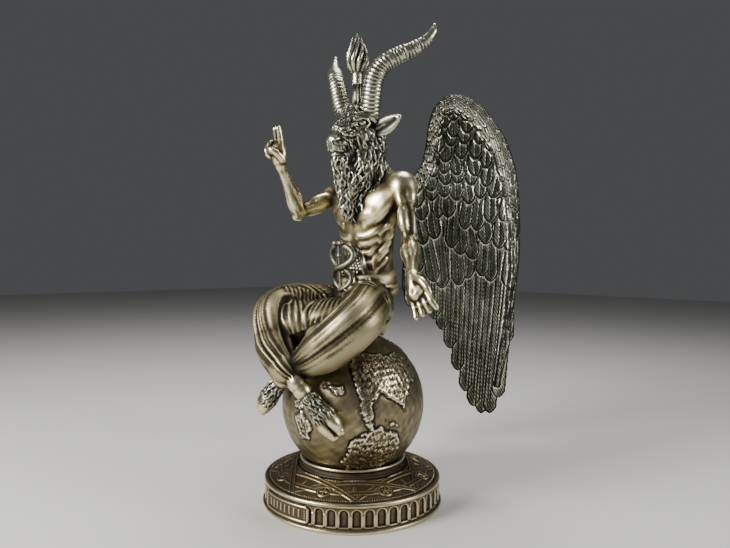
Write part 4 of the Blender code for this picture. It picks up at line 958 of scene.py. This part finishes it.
def add_head(clay):
    """The goat's head: skull, long muzzle, nose, lips and jaw, all under short hair."""
    clay.ball((0, 8, 160), (16.5, 18.5, 18.5), 0, HAIR)
    clay.limb([(0, -1, 166.5), (0, -9.5, 159), (0, -16.5, 151.5), (0, -21, 147.5)],
              [11.8, 9.8, 8.2, 6.8], 3, HAIR)
    clay.limb([(0, -4, 143), (0, -13.5, 137), (0, -18.0, 134.0)], [10.5, 7.6, 4.8], 2, HAIR)
    clay.limb([(0, -8, 150), (0, -20.5, 143.5)], [9.5, 6.2], 2, HAIR)
    both_sides(add_head_side, clay)
    rng = np.random.default_rng(HAIR_SEED + 1)
    for row in range(17):
        share = row / 16
        middle = Vector((0, -19.5, 151.5)).lerp(Vector((0, -2, 168)), share)
        for k in range(-8, 9):
            turn = math.radians(12.5 * k + 6 * (row % 2))
            wide = 5.5 + 5.5 * share
            spot = middle + wide * Vector((math.sin(turn), -0.55 * math.cos(turn), 0.75 * math.cos(turn)))
            if abs(abs(spot.x) - 12) < 4.0 and spot.z > 155:
                continue
            clay.strand(spot, (0.7 * math.sin(turn), 0.72, 0.62 - 0.9 * abs(math.sin(turn))), 5.5,
                        rng.uniform(0.65, 0.95), 0.5, rng.uniform(0, ANY_PHASE), 3, 0.25, 0.12)
    for i in range(60):
        turn = GOLDEN_TURN * i
        reach = 1.95 * math.sqrt(i)
        spot = Vector((reach * math.cos(turn), 3 + 0.8 * reach * math.sin(turn), 176))
        away = Vector((0.35 * spot.x, -2.4 if spot.y < 8 else 2.4, -1.5))
        clay.strand(spot, away, 7.0, rng.uniform(0.9, 1.3), 0.8, rng.uniform(0, ANY_PHASE), 4, 0.1, 0.2)
    clay.ball((0, -23.0, 148.0), (5.4, 4.8, 4.4), 1.8, HAIR)
    for side in (1, -1):
        clay.ball((side * 3.6, -25.0, 147.4), (2.6, 2.4, 2.4), 1.4, HAIR)
        clay.limb(on_side(side, (7.0, -22.0, 147.6), (5.6, -26.2, 146.0), (3.4, -28.0, 146.4)),
                  [0.5, 1.0, 0.7], 0.3, cut=True)
        for row in range(5):
            for k in range(5):
                clay.strand((side * (2.2 + 1.3 * k), -27 + 1.9 * k, 146.5 - 1.7 * row),
                            (side * 0.35, 0.8, -0.65), 5.0, rng.uniform(0.50, 0.7), 0.3,
                            rng.uniform(0, ANY_PHASE), 3, 0.1, 0.2)
    for z, back in ((140.4, 0.0), (136.8, 1.2)):
        clay.limb([(-5.6, -18.5 + back, z - 0.8), (-3.4, -23.4 + back, z + 0.5), (0, -24.8 + back, z - 0.2),
                   (3.4, -23.4 + back, z + 0.5), (5.6, -18.5 + back, z - 0.8)],
                  [0.6, 1.1, 1.2, 1.1, 0.6], 1.0, HAIR)
    clay.limb([(-7.4, -16, 139.8), (-5.4, -21.6, 138.0), (-2.4, -25.6, 139.2), (0, -27.0, 138.6),
               (2.4, -25.6, 139.2), (5.4, -21.6, 138.0), (7.4, -16, 139.8)],
              [0.5, 0.7, 0.8, 0.8, 0.8, 0.7, 0.5], 0.3, cut=True)
    for i in range(12):
        across = (i - 5.5) / 5.5
        clay.strand((6 * across, -22 + 6 * across ** 2, 135.6), (0.1 * across, -0.1, -1), 9.0,
                    rng.uniform(0.7, 1.0), 0.6, rng.uniform(0, ANY_PHASE), 4, 0.15, 0.2)


def add_head_side(clay, side):
    """Brow, eye, cheek and the curls of one side of the face."""
    clay.ball((side * 12, -1, 153), (6.5, 9, 7), 3, HAIR)
    clay.limb(on_side(side, (6, -9.5, 167.0), (11.5, -7, 168.6), (16.5, -1, 167.2), (18, 5, 163.2)),
              [2.3, 2.7, 2.6, 1.8], 1.6, HAIR)
    clay.ball((side * 13.2, -7.2, 162.2), (4.6, 4.2, 3.7), 1.2, cut=True)
    clay.ball((side * 12.2, -4.6, 162.2), (3.5, 3.5, 3.2), 0.0, HORN)
    upper_lid = ((8.6, -9.6, 162.6), (12.4, -9.6, 165.6), (16.8, -4.4, 165.0), (17.6, -1.0, 161.8))
    lower_lid = ((8.6, -9.8, 161.8), (12.2, -9.2, 158.9), (16.6, -4.6, 159.0), (17.6, -1.4, 161.4))
    for lid, thick in ((upper_lid, 1.1), (lower_lid, 1.0)):
        clay.limb(on_side(side, *lid), [0.8, thick, thick, 0.8], 0.2, HAIR)
    for i in range(3):
        clay.strand((side * (6.6 + 0.4 * i), -12 + i, 159.4 + 3.0 * i), (side * 0.9, 0.6, 0.75 - 0.5 * i),
                    8.0, 1.0, 0.1, 0, 4, 0.3, 0.3)
    rng = np.random.default_rng(HAIR_SEED + 2 + side)
    for i in range(14):
        clay.strand((side * (7.0 + 0.9 * i), -13.5 + 1.05 * i, 157.4 - 0.1 * i), (side * 0.12, 0.25, -1), 8.0,
                    rng.uniform(0.7, 0.95), 0.5, rng.uniform(0, ANY_PHASE), 4, 0.2, 0.2)
    for row in range(10):
        for k in range(9):
            z = 154.5 - 2.3 * row + 0.6 * k
            if k < 4 and 134 < z < 144:
                continue
            clay.strand((side * (6.5 + 1.35 * k), -20 + 3.2 * k, z), (side * 0.2, 0.75, -1), 6.5,
                        rng.uniform(0.65, 0.9), 0.6, rng.uniform(0, ANY_PHASE), 4, 0.0, 0.15)
    add_ear(clay, side)
    add_horn(clay, side)


EAR_LENGTH = 24.5


def add_ear(clay, side):
    """A leaf-shaped ear: a shallow cup with a thin rim, which points out and a little up."""
    tilt = side * math.radians(24)
    turn = Matrix.Rotation(tilt, 3, "Z") @ Matrix.Rotation(-tilt, 3, "Y")
    root = Vector((side * 15.5, 3.5, 156.5))
    spine = []
    for share in np.linspace(0.0, 1.0, 26):
        wide = 0.9 + 6.0 * math.sin(math.pi * (0.10 + 0.87 * share)) ** 0.85
        middle = root + turn @ Vector((side * EAR_LENGTH * share, 0.8 * math.sin(math.pi * share),
                                       -1.2 * (1 - share)))
        spine.append((middle, wide))
        clay.ball(middle, (1.6, 1.9, wide), 0.8, HORN, turn)
    for middle, wide in spine[5:-4]:
        clay.ball(middle + turn @ Vector((0, -3.1, 0)), (1.6, 1.8, max(0.6, wide - 1.1)), 0.8, None, turn,
                  True)
    clay.limb([spine[3][0] + Vector((0, -1.4, 0.8)), spine[12][0] + Vector((0, -1.0, 0.6))], [1.2, 0.5], 0.8,
              HORN)


def horn_rings(along, around, length):
    """Narrow rings with grooves between them, nicked along the horn, which fade out at the tip."""
    phase = -166.7 * np.log(1.0 - 0.00207 * along) + 0.10 * np.sin(2 * around + 1)
    groove = hump((phase + 0.5) % 1.0 - 0.5, 0.17)
    nicks = 0.07 * np.abs(np.sin(7.5 * around + 2.3 * np.floor(phase + 0.5)))
    fade = ease(length - along, 8.0, 18.0)
    return fade * (0.20 - 0.65 * groove - nicks)


def add_horn(clay, side):
    """A ringed horn that rises, sweeps out and back and turns up at its smooth tip."""
    spine = [(13.5, 3, 170), (17.5, 0.5, 183), (21, 0, 196), (27, 3, 206), (36, 10, 212.5),
             (44, 17, 217), (51, 23, 222.5), (55.2, 27, 229), (56, 28.5, 234.6)]
    radii = [7.8, 7.7, 7.5, 7.0, 6.4, 5.6, 4.6, 3.5, 2.0]
    clay.limb(on_side(side, *spine), radii, 0, HORN, 8, relief=horn_rings)


TORCH_TURNS = [2 * math.pi * i / 9 for i in range(9)]


def add_torch(clay):
    """The torch between the horns: a ribbed stem with rings and a closed flame of curling tongues."""
    clay.limb([(0, 3, 172), (0, 2, 188), (0, 1.5, 203)], [3.2, 3.2, 3.2], 0, HORN)
    for turn in TORCH_TURNS:
        x, y = 3.0 * math.cos(turn), 3.0 * math.sin(turn)
        clay.limb([(1.3 * x, 3 + 1.3 * y, 172), (x, 2 + y, 188), (x, 1.5 + y, 204)], [1.1, 0.9, 0.9], 0.2,
                  HORN, 1)
    for z in (196.5, 199.5, 202.5, 205):
        clay.limb([(0.9 * math.cos(a), 1.6 + 0.9 * math.sin(a), z) for a in np.linspace(0, 6.28, 9)],
                  [3.4] * 9, 0.3, HORN, 1)
    clay.limb([(0, 1.5, 205), (0, 1.8, 213), (0, 2, 221), (-0.5, 1.5, 229), (0, 1, 234.4)],
              [3.8, 7.0, 6.2, 3.0, 1.1], 1.0, HORN)
    for i, turn in enumerate(TORCH_TURNS):
        knots = ((3.2, 205.5, 0.0), (7.4, 212, 0.10), (7.6, 218, 0.35), (5.8, 224, 0.6),
                 (3.6 + i % 2, 229 + 1.5 * (i % 3), 0.8))
        clay.limb([(r * math.cos(turn + w), 1.7 + r * math.sin(turn + w), z) for r, z, w in knots],
                  [1.6, 1.8, 1.7, 1.2, 0.5], 0.3, HORN, 3)


# The middle of each trouser leg from hip to ankle, and how thick it is there.
RIGHT_LEG = ((-14, 10, 17.5), (-28, -18, 19), (-36.5, -46, 15.5), (-24, -60, -7), (-4, -67, -22),
             (9, -67.5, -30))
LEFT_LEG = ((14, 10, 20), (30, -16, 22), (47, -43, 13), (33, -55, -4), (10, -56, -18), (-9, -57, -29))
RIGHT_GIRTH = (15.4, 17.2, 17.4, 15.0, 11.4, 6.6)
LEFT_GIRTH = (15.4, 17.2, 17.7, 16.8, 11.9, 6.6)


def pleats(count, height, twist, seed, wind):
    """Long pleats with round backs and soft valleys, which start smooth and gather towards the ankle. They
    twist evenly along the leg, and wind over the thigh."""
    rng = np.random.default_rng(seed)
    shifts = rng.uniform(0, ANY_PHASE, 4)

    def relief(along, around, length):
        share = along / length
        turn = around + twist * share + wind * ease(share, -0.05, 0.48)
        turn = turn + 0.25 * np.sin(2 * turn + shifts[0] + 2.0 * share) + 0.10 * np.sin(5 * turn + shifts[1])
        deep = height * (0.35 + 0.65 * ease(share, 0.20, 0.50)) * (1.0 - 0.35 * ease(share, 0.8, 1.0))
        deep = deep * (0.65 + 0.50 * np.sin(3 * turn + shifts[2] + 3 * share))
        small = 0.28 * np.sin(1.5 * count * turn + shifts[3] + 5 * share)
        threads = 0.17 * np.sin(26 * turn + 9 * share) * (1 - ease(share, 0.85, 1.0))
        return deep * (np.sqrt(np.sin(0.5 * count * turn) ** 2 + 0.08) - 0.70) + small + threads
    return relief


def add_crease(clay, start, end, radius, blend):
    """A crease of cloth that lies on the surface between two places."""
    shares = [k / 6 for k in range(7)]
    points = [clay.on_skin(Vector(start).lerp(Vector(end), share), 0.1) for share in shares]
    radii = [radius * (0.4 + 0.6 * math.sin(math.pi * (0.1 + 0.8 * share))) for share in shares]
    clay.limb(points, radii, blend, CLOTH, 3)


def add_legs(clay):
    """The crossed legs in wide trousers that are rolled at the waist and bound at the ankles."""
    for centre, radii, blend in (((0, 12, 14), (23.4, 22.4, 26), 0), ((0, 12, 24), (25.5, 21.5, 18), 2),
                                 ((0, -20, 10), (28, 28, 16), 4), ((-20, -34, 6), (22, 26, 19), 4),
                                 ((16, -42, -2), (19, 15, 13), 4)):
        clay.ball(centre, radii, blend, CLOTH)
    clay.limb(RIGHT_LEG, RIGHT_GIRTH, 3, CLOTH, 16, relief=pleats(8, 2.6, 0.9, 3, -5.0))
    clay.limb(LEFT_LEG, LEFT_GIRTH, 1.5, CLOTH, 16, relief=pleats(6, 2.8, -0.9, 5, 0.0))
    for i in range(16):
        share = i / 15
        add_crease(clay, (-35 + 43 * share, -42 + 34 * share, 32),
                   (-15 + 32 * share, -50 + 20 * share, 3 + 9 * share), 0.8 + 0.3 * (i % 2), 1.4)
    for i in range(6):
        add_crease(clay, (17, -8 - 5 * i, 38), (44 - i, -4 - 6 * i, 20), 0.9, 1.6)
    for i in range(6):
        reach = 23.8 + 0.8 * i
        z = 44.3 - 3.0 * i
        roll = [(reach * math.sin(a), 13 - 0.84 * reach * math.cos(a),
                 z - 3.4 * math.cos(a) + 0.8 * math.sin(3 * a + 1.7 * i))
                for a in [math.radians(-180 + 20 * k) for k in range(19)]]
        clay.limb(roll, [1.5 + 0.4 * (i % 2)] * 19, 2.0, CLOTH, 2)
    add_foot(clay, (12, -67.0, -32.5), (20, -62.0, -43), (28, -57.5, -53), (38, -52.0, -66), 4.0, 21)
    add_foot(clay, (-12, -58, -30), (-22, -61.5, -42), (-27, -63, -49), (-32, -66, -58.5), 3.4, 22)


def add_foot(clay, cuff, fetlock, coronet, tip, spread, seed):
    """A smooth cuff, the furred fetlock and a cloven hoof of two toes."""
    cuff, fetlock, coronet, tip = [Vector(p) for p in (cuff, fetlock, coronet, tip)]
    ahead = (fetlock - cuff).normalized()
    clay.limb([cuff - ahead * 2, cuff + ahead * 6], [5.6, 6.0], 0.5, SKIN, 8)
    for place in (-1.5, 4.6):
        clay.limb([cuff + ahead * (place + 1.2 * k) for k in range(3)], [6.4, 6.6, 6.4], 0.3, SKIN, 3)
    clay.limb([cuff + ahead * 5, fetlock, coronet], [5.4, 6.0, 6.0], 0.5, HAIR)
    out = (tip - Vector((0, 0, -GLOBE_RADIUS))).normalized()
    across = (tip - coronet).cross(out).normalized() * spread
    hoof = tip - coronet
    for share in (-1, 1):
        side = across * share
        clay.limb([coronet + side * 0.55, coronet + hoof * 0.5 + side * 0.85 + out * 0.4,
                   tip + side * 0.8], [5.6, 5.6, 3.4], 0.3, SKIN)
        clay.limb([coronet + side * 0.5, coronet + hoof * 0.12 + side * 0.7], [6.3, 6.0], 0.4, HAIR, 2)
    clay.limb([coronet + hoof * 0.35 + out * 6.0, coronet + hoof * 0.7 + out * 4.6,
               tip + out * 2.4 + hoof * 0.3], [0.6, 1.3, 1.8], 0.3, None, 3, True)
    side = ahead.cross(Vector((0, 0, 1))).normalized()
    up = side.cross(ahead)
    rng = np.random.default_rng(seed)
    for tier in range(4):
        for i in range(20):
            turn = 2 * math.pi * (i + 0.5 * (tier % 2) + rng.uniform(-0.2, 0.2)) / 20
            spot = cuff + (coronet - cuff) * (0.42 + 0.18 * tier)
            spot = spot + (side * math.cos(turn) + up * math.sin(turn)) * 6.5
            clay.strand(spot, coronet - cuff, rng.uniform(6.0, 8.5), rng.uniform(0.6, 0.85), 0.6,
                        rng.uniform(0, ANY_PHASE), 4, 0.1, 0.2)


def make_figure():
    clay = Clay(*FIGURE_BOX, FIGURE_CELL)
    for add in (add_legs, add_torso, add_right_arm, add_left_arm, add_mane, add_head, add_torch):
        add(clay)
    clay.ball((0, 0, -GLOBE_RADIUS), [GLOBE_RADIUS + GLOBE_GAP] * 3, cut=True)
    points, faces, tones = skin_of(clay)
    points[:, 2] += SEAT_LEVEL
    figure = mesh_object("cast_figure", points, faces)
    for name, tone in (("skin", SKIN), ("cloth", CLOTH)):
        keep_values(figure.data, name, tones == tone)
    thinned(figure, FIGURE_TRIANGLES)
    return figure


figure = make_figure()
mark_relief(figure)
figure.data.materials.append(antique_bronze(
    "rubbed antique bronze", ("#0b0b08", "#4a4a3f", "#807e6c", "#cccab5"), marked=(
        ("skin", ("#120e08", "#5d5138", "#9e9068", "#e8dfb8"), 0.0),
        ("cloth", ("#16130c", "#423c2b", "#6a6249", "#aea581"), 0.16))))
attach(figure, "root")
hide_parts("figure")


# Each wing is cast in one and joined to the back at its root. A thick arm runs up from the shoulder blade and
# over the top, small round feathers lie below it like tiles, then longer coverts and long flight feathers
# with barbs. Its patina is close to gunmetal, with pale rubbed rims, and its arm along the leading edge gets
# a paler palette as a painted highlight.
WING_SWEEP = math.radians(40.0)
WING_ROOT = (12.0, 33.0)
WING_CUT = 2.2
WING_LOW, WING_HIGH = (-10, -74, -12), (108, 196, 13)
WING_CELL = 0.5
WING_TRIANGLES = 180000
WING_FOOT = ((12, 28), (14, 19), (19, 13), (26, 13), (33, 9), (38, 4), (43, -5), (48, -18), (54, -35),
             (59, -49), (64, -59), (69, -67), (76, -70), (82, -67), (85, -60), (88, -45), (91, -30),
             (95, 16), (99, 36), (102, 67))
WING_TOP = ((12, 114), (22, 126), (27, 134), (30, 148), (34, 180), (40, 186), (48, 188), (56, 185),
            (66, 178), (76, 168), (86, 154), (92, 138), (96, 120), (99, 103), (101, 86), (102, 70))
WING_ARM = ((-6, 95, 8), (2, 98, 8), (12, 112, 7), (21, 122.5, 6), (27, 134, 5), (30, 150, 4.6),
            (32.5, 168, 4.8), (38, 180, 5.6), (48, 185, 7), (60, 180, 7.8), (73, 167, 8), (83, 151, 7.6),
            (90, 132, 7), (94, 112, 6.2), (96.5, 88, 5.2), (97.5, 60, 4.2), (95, 24, 3.2), (90, -16, 2.6),
            (84, -54, 2))
# Rows of feathers from the lowest up: the line their tips hang to, then count, length, width and rise.
FEATHER_ROWS = (
    (((13, 50), (24, 46), (43, 33), (66, 42), (84, 42), (95, 34)), 9, 50, 12.5, 2.0),
    (((12, 66), (24, 68), (36, 74), (56, 58), (68, 58), (78, 70), (95, 62)), 9, 42, 13.0, 2.7),
    (((13, 86), (32, 92), (50, 88), (66, 80), (94, 92)), 8, 34, 13.0, 3.3),
    (((15, 100), (40, 107), (60, 103), (92, 112)), 8, 26, 13.0, 3.8),
    (((20, 112), (44, 118), (62, 115), (90, 124)), 7, 21, 13.0, 4.2),
    (((26, 124), (48, 128), (64, 126), (87, 134)), 6, 19, 12.5, 4.5),
    (((31, 135), (52, 138), (83, 144)), 5, 18, 12.5, 4.8),
    (((33, 146), (52, 148), (78, 153)), 5, 17, 12.0, 5.1),
    (((35, 156), (54, 158), (72, 161)), 4, 16, 11.5, 5.4),
    (((37, 165), (54, 168), (66, 169)), 4, 15, 11.0, 5.7),
    (((40, 174), (54, 176)), 3, 13, 10.0, 6.0),
)
GROUND_FEATHERS = 14
FLIGHT_FEATHERS = 12
WING_SEED = 5
NO_WING = 20.0


def between(stations, x):
    """A height read from a row of (x, height) stations."""
    return float(np.interp(x, *zip(*stations)))


class WingSheet:
    """The wing's front and back as heights over its flat sheet: x out from the root, y up."""

    def __init__(self, x, y):
        self.x, self.y = x[:, None], y[None, :]
        self.front = np.full((len(x), len(y)), -NO_WING)
        self.back = -self.front
        self.arm_highlight_mask = np.zeros((len(x), len(y)))

    def feather(self, tip, length, width, lean, rise, thick, barb, back_too=False, over=None):
        """A feather that hangs to its tip, with a round end, a pale rim, a shaft and slanting barbs.
        It lies on the flat sheet or over the heights given."""
        reach = length + width
        part = tuple(slice(*np.searchsorted(line.ravel(), (middle - reach, middle + reach)))
                     for line, middle in ((self.x, tip[0]), (self.y, tip[1])))
        dx, dy = self.x[part[0]] - tip[0], self.y[:, part[1]] - tip[1]
        along = -dx * math.sin(lean) + dy * math.cos(lean)
        across = dx * math.cos(lean) + dy * math.sin(lean)
        share = np.clip(along / length, 0.0, 1.0)
        half = width / 2 * np.minimum(1.0, np.sqrt(np.clip(along, 0, None) / (0.55 * width) + 1e-6))
        half = half * (1.0 - 0.25 * share)
        edge = np.abs(across) / np.maximum(half, 1e-3)
        inside = (along > 0) & (along < length) & (edge < 1.0)
        to_rim = (1.0 - edge) * half
        crown = (0.8 if length < 55 else 0.35) * (1.0 - edge ** 2)
        rim = 0.75 * hump(to_rim - 0.8, 0.6)
        shaft = 0.45 * hump(across, 0.5) * ease(share, 0.02, 0.15)
        grooves = barb * np.sin((along * 0.75 + across * 1.1) * 2 * math.pi / 2.4)
        base = rise * (1.0 - 0.85 * share) + thick / 2 + (0.0 if over is None else over[part])
        height = base + crown + rim + shaft + grooves * (1.0 - hump(to_rim - 0.5, 0.6)) - 0.6
        self.front[part] = np.where(inside, np.maximum(self.front[part], height), self.front[part])
        if back_too:
            height = thick / 2 + 0.7 * crown + 0.4 * shaft + 0.6 * grooves - 0.5
            self.back[part] = np.where(inside, np.minimum(self.back[part], -height), self.back[part])

    def arm(self, path):
        """The wing's round arm, from the root up and along the leading edge."""
        for (ax, ay, ar), (bx, by, br) in zip(path, path[1:]):
            run = (bx - ax, by - ay)
            share = ((self.x - ax) * run[0] + (self.y - ay) * run[1]) / (run[0] ** 2 + run[1] ** 2)
            share = np.clip(share, 0.0, 1.0)
            gap = np.hypot(self.x - ax - share * run[0], self.y - ay - share * run[1])
            radius = ar + (br - ar) * share
            dome = 0.8 * np.sqrt(np.clip(radius ** 2 - gap ** 2, 0.0, None))
            inside = gap < radius
            # Mask for the paler palette that paints a highlight along the arm.
            self.arm_highlight_mask = np.maximum(self.arm_highlight_mask, ease(radius - gap, -1.5, 1.5))
            self.front = np.where(inside, np.maximum(self.front, 1.5 + dome), self.front)
            self.back = np.where(inside, np.minimum(self.back, 1.5 - dome), self.back)


def make_wing_sheet(x_line, y_line):
    """Lays the wing: long feathers as its ground, flight feathers, rows of coverts, then the arm with small
    feathers of its own."""
    sheet = WingSheet(x_line, y_line)
    for i in range(GROUND_FEATHERS):
        x = 14 + 6.0 * i
        foot = between(WING_FOOT, x) + 7
        top = between(WING_TOP, x) - 3
        sheet.feather((x, foot), top - foot, 14, 0.0, 0.0, 2.6, 0.16, True)
    for i in range(FLIGHT_FEATHERS):
        share = i / (FLIGHT_FEATHERS - 1)
        x = 15 + 71 * share
        foot = between(WING_FOOT, x)
        sheet.feather((x, foot), 60 + 64 * share, 11.5, math.radians(3 - 8 * share), 0.4 + 0.26 * i, 2.0,
                      0.13, True)
    rng = np.random.default_rng(WING_SEED)
    for k, (line, count, length, width, rise) in enumerate(FEATHER_ROWS):
        first, last = line[0][0], line[-1][0]
        for i in rng.permutation(count):
            x = first + (last - first) * (i + 0.4 * (k % 2) + rng.uniform(-0.2, 0.2)) / (count - 0.6)
            lean = math.radians(9 - 16 * (x - 14) / 84 + rng.uniform(-9, 9))
            sheet.feather((x, between(line, x) + rng.uniform(-2.6, 2.6)), length,
                          width * rng.uniform(0.88, 1.12), lean, rise + rng.uniform(0.0, 0.9), 1.6, 0.11)
    path = [(p.x, p.y, r) for p, r in smooth_path([Vector((x, y, 0)) for x, y, _ in WING_ARM],
                                                  [r for _, _, r in WING_ARM], 5)]
    sheet.arm(path)
    bare = sheet.front.copy()
    travelled, due = 0.0, [0.0, 6.0, 3.0, 8.0]
    for (x, y, radius), (next_x, next_y, _) in zip(path, path[1:]):
        heading = math.atan2(next_y - y, next_x - x)
        travelled += math.hypot(next_x - x, next_y - y)
        for lane in range(4):
            if travelled < due[lane]:
                continue
            upper = x > 44
            due[lane] += rng.uniform(10, 13) if upper else rng.uniform(5, 7)
            off = (0.5 * lane - 0.75) * radius
            tip = (x - math.sin(heading) * off, y + math.cos(heading) * off)
            sheet.feather(tip, 24.0 if upper else 9.0, max(3.0, 0.72 * radius) if upper else 5.5,
                          heading + math.pi / 2 + rng.uniform(-0.10, 0.10), 1.1, 0.6, 0.06, False, bare)
    return sheet


def wing_place(x, y, out):
    """Points of the wing's grid in the part's frame, in millimetres, for the figure's left side."""
    bow = 7.0 * ((x - 55) / 50) ** 2 - 5.0
    across = out + bow
    return np.stack([WING_ROOT[0] + x * math.cos(WING_SWEEP) + across * math.sin(WING_SWEEP),
                     WING_ROOT[1] + x * math.sin(WING_SWEEP) - across * math.cos(WING_SWEEP),
                     SEAT_LEVEL + y], axis=-1)


def make_wings():
    block = Clay(WING_LOW, WING_HIGH, WING_CELL)
    x, y, out = [low + WING_CELL * np.arange(count) for low, count in zip(block.low, block.field.shape)]
    sheet = make_wing_sheet(x, y)
    front, back = [side.astype(np.float32)[:, :, None] for side in (sheet.front, sheet.back)]
    x, out = x.astype(np.float32)[:, None, None], out.astype(np.float32)
    block.field = np.clip(np.maximum(np.maximum(out - front, back - out), WING_CUT - x), -FAR, FAR)
    points, faces, _ = skin_of(block)
    placed = wing_place(points[:, 0], points[:, 1], points[:, 2])
    left = mesh_object("cast_wing_left", placed, faces[:, ::-1])
    spots = ((points[:, :2] - WING_LOW[:2]) / WING_CELL).astype(int)
    # The arm's mask is kept for the paler palette, a painted highlight along the leading edge.
    keep_values(left.data, "leading", sheet.arm_highlight_mask[tuple(spots.T)])
    thinned(left, WING_TRIANGLES)
    mesh = left.data.copy()
    mesh.transform(Matrix.Diagonal((-1.0, 1.0, 1.0, 1.0)))
    mesh.flip_normals()
    return left, linked("cast_wing_right", mesh)


# The paler palette marked on the arm is a painted highlight along the leading edge.
gunmetal = antique_bronze("gunmetal bronze", ("#0a0b08", "#383a32", "#767869", "#cfd1bd"), shine=0.34,
                          fine_gain=2.0,
                          marked=(("leading", ("#1b1b15", "#7b7a6c", "#b5b3a1", "#f0eedd"), 0.0),))
for wing, cad_name in zip(make_wings(), ("wing_left", "wing_right")):
    mark_relief(wing)
    wing.data.materials.append(gunmetal)
    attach(wing, "root")
    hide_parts(cad_name)


# The caduceus is cast apart and set into the lap: a thin rod with a knob, and two scaly snakes that wind
# round it and meet at the knob. It is gunmetal too, rubbed pale on the snakes' backs.
CADUCEUS_CELL = 0.35
CADUCEUS_BOX = ((-20, -32, 24), (20, -2, 80))
ROD_RADIUS = 1.3
SNAKE_RADIUS = 2.25
LOOP_KNOTS = 9


def make_caduceus():
    clay = Clay(*CADUCEUS_BOX, CADUCEUS_CELL)
    clay.limb([(0, -14, 29), (0, -15.5, 48), (0, -17, 67)], [ROD_RADIUS] * 3)
    clay.ball((0, -17, 69.2), (2.4, 2.4, 2.6))
    clay.ball((0, -16.6, 59.5), (2.0, 2.0, 1.7))
    for side in (1, -1):
        points, radii = [], []
        for i in range(2 * LOOP_KNOTS):
            turn = math.pi * i / LOOP_KNOTS
            low, high, wide = 32.5, 50.0, 9.5
            if i >= LOOP_KNOTS:
                low, high, wide = 50.0, 68.0, 13.0 if side < 0 else 10.5
            rise = 0.4 * (i % LOOP_KNOTS) / LOOP_KNOTS + 0.3 * (1.0 - math.cos(turn % math.pi))
            points.append((side * wide * math.sin(turn), -14 - i / 6 + 2.5 * math.sin(turn) ** 2
                           - side * 1.6 * math.cos(turn), low + (high - low) * rise))
            radii.append(SNAKE_RADIUS * (0.6 + 0.4 * min(1.0, i / 8)))
        path = smooth_path([Vector(p) for p in points], radii, 8)
        ringed = [radius * (1.0 + 0.09 * math.sin(2.1 * i)) for i, (_, radius) in enumerate(path)]
        for k in range(len(path) - 1):
            clay.limb([path[k][0], path[k + 1][0]], ringed[k:k + 2], 0, None, 1)
        clay.ball((side * -2.9, -18.6, 69.0), (3.0, 2.3, 2.0), 0.5)
    points, faces, _ = skin_of(clay)
    points[:, 2] += SEAT_LEVEL
    return mesh_object("cast_caduceus", points, faces)


caduceus = make_caduceus()
mark_relief(caduceus)
caduceus.data.materials.append(antique_bronze(
    "rubbed gunmetal bronze", ("#0a0b08", "#4a4a3f", "#8f8d7b", "#dcdac6"), base=0.46))
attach(caduceus, "root")
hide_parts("caduceus")


# The studio is a pale paper floor in a dim, pale room. The main soft light stands high on the left, a weaker
# one on the right and one above the piece.
ROOM_STRENGTH = 0.12
FLOOR_HALF = 3.0
LIGHT_AIM = Vector((0, 0, 0.17))
LIGHTS = (
    ("left_softbox", (-0.80, -0.45, 0.60), 0.40, 17.0),
    ("right_softbox", (0.85, -0.35, 0.55), 0.35, 5.0),
    ("top_softbox", (0.15, 0.25, 1.10), 0.50, 7.0),
)

room = bpy.data.worlds.new("pale room")
scene.world = room
room.use_nodes = True
background = room.node_tree.nodes["Background"].inputs
background["Color"].default_value = linear("#c9ccd0")
background["Strength"].default_value = ROOM_STRENGTH
floor_mesh = bpy.data.meshes.new("studio_floor")
floor_mesh.from_pydata([(FLOOR_HALF * x, FLOOR_HALF * y, 0) for x, y in ((-1, -1), (1, -1), (1, 1), (-1, 1))],
                       [], [(0, 1, 2, 3)])
floor = linked("studio_floor", floor_mesh)
paper = bpy.data.materials.new("pale paper")
paper.use_nodes = True
surface = paper.node_tree.nodes["Principled BSDF"].inputs
surface["Base Color"].default_value = linear("#cfcdc8")
surface["Roughness"].default_value = 0.9
floor_mesh.materials.append(paper)

for name, (side, away, height), size, power in LIGHTS:
    lamp = bpy.data.lights.new(name, "AREA")
    lamp.size = size
    lamp.energy = power
    light = linked(name, lamp)
    light.location = from_view(side, away, height)
    light.rotation_mode = "QUATERNION"
    light.rotation_quaternion = (LIGHT_AIM - light.location).to_track_quat("-Z", "Y")
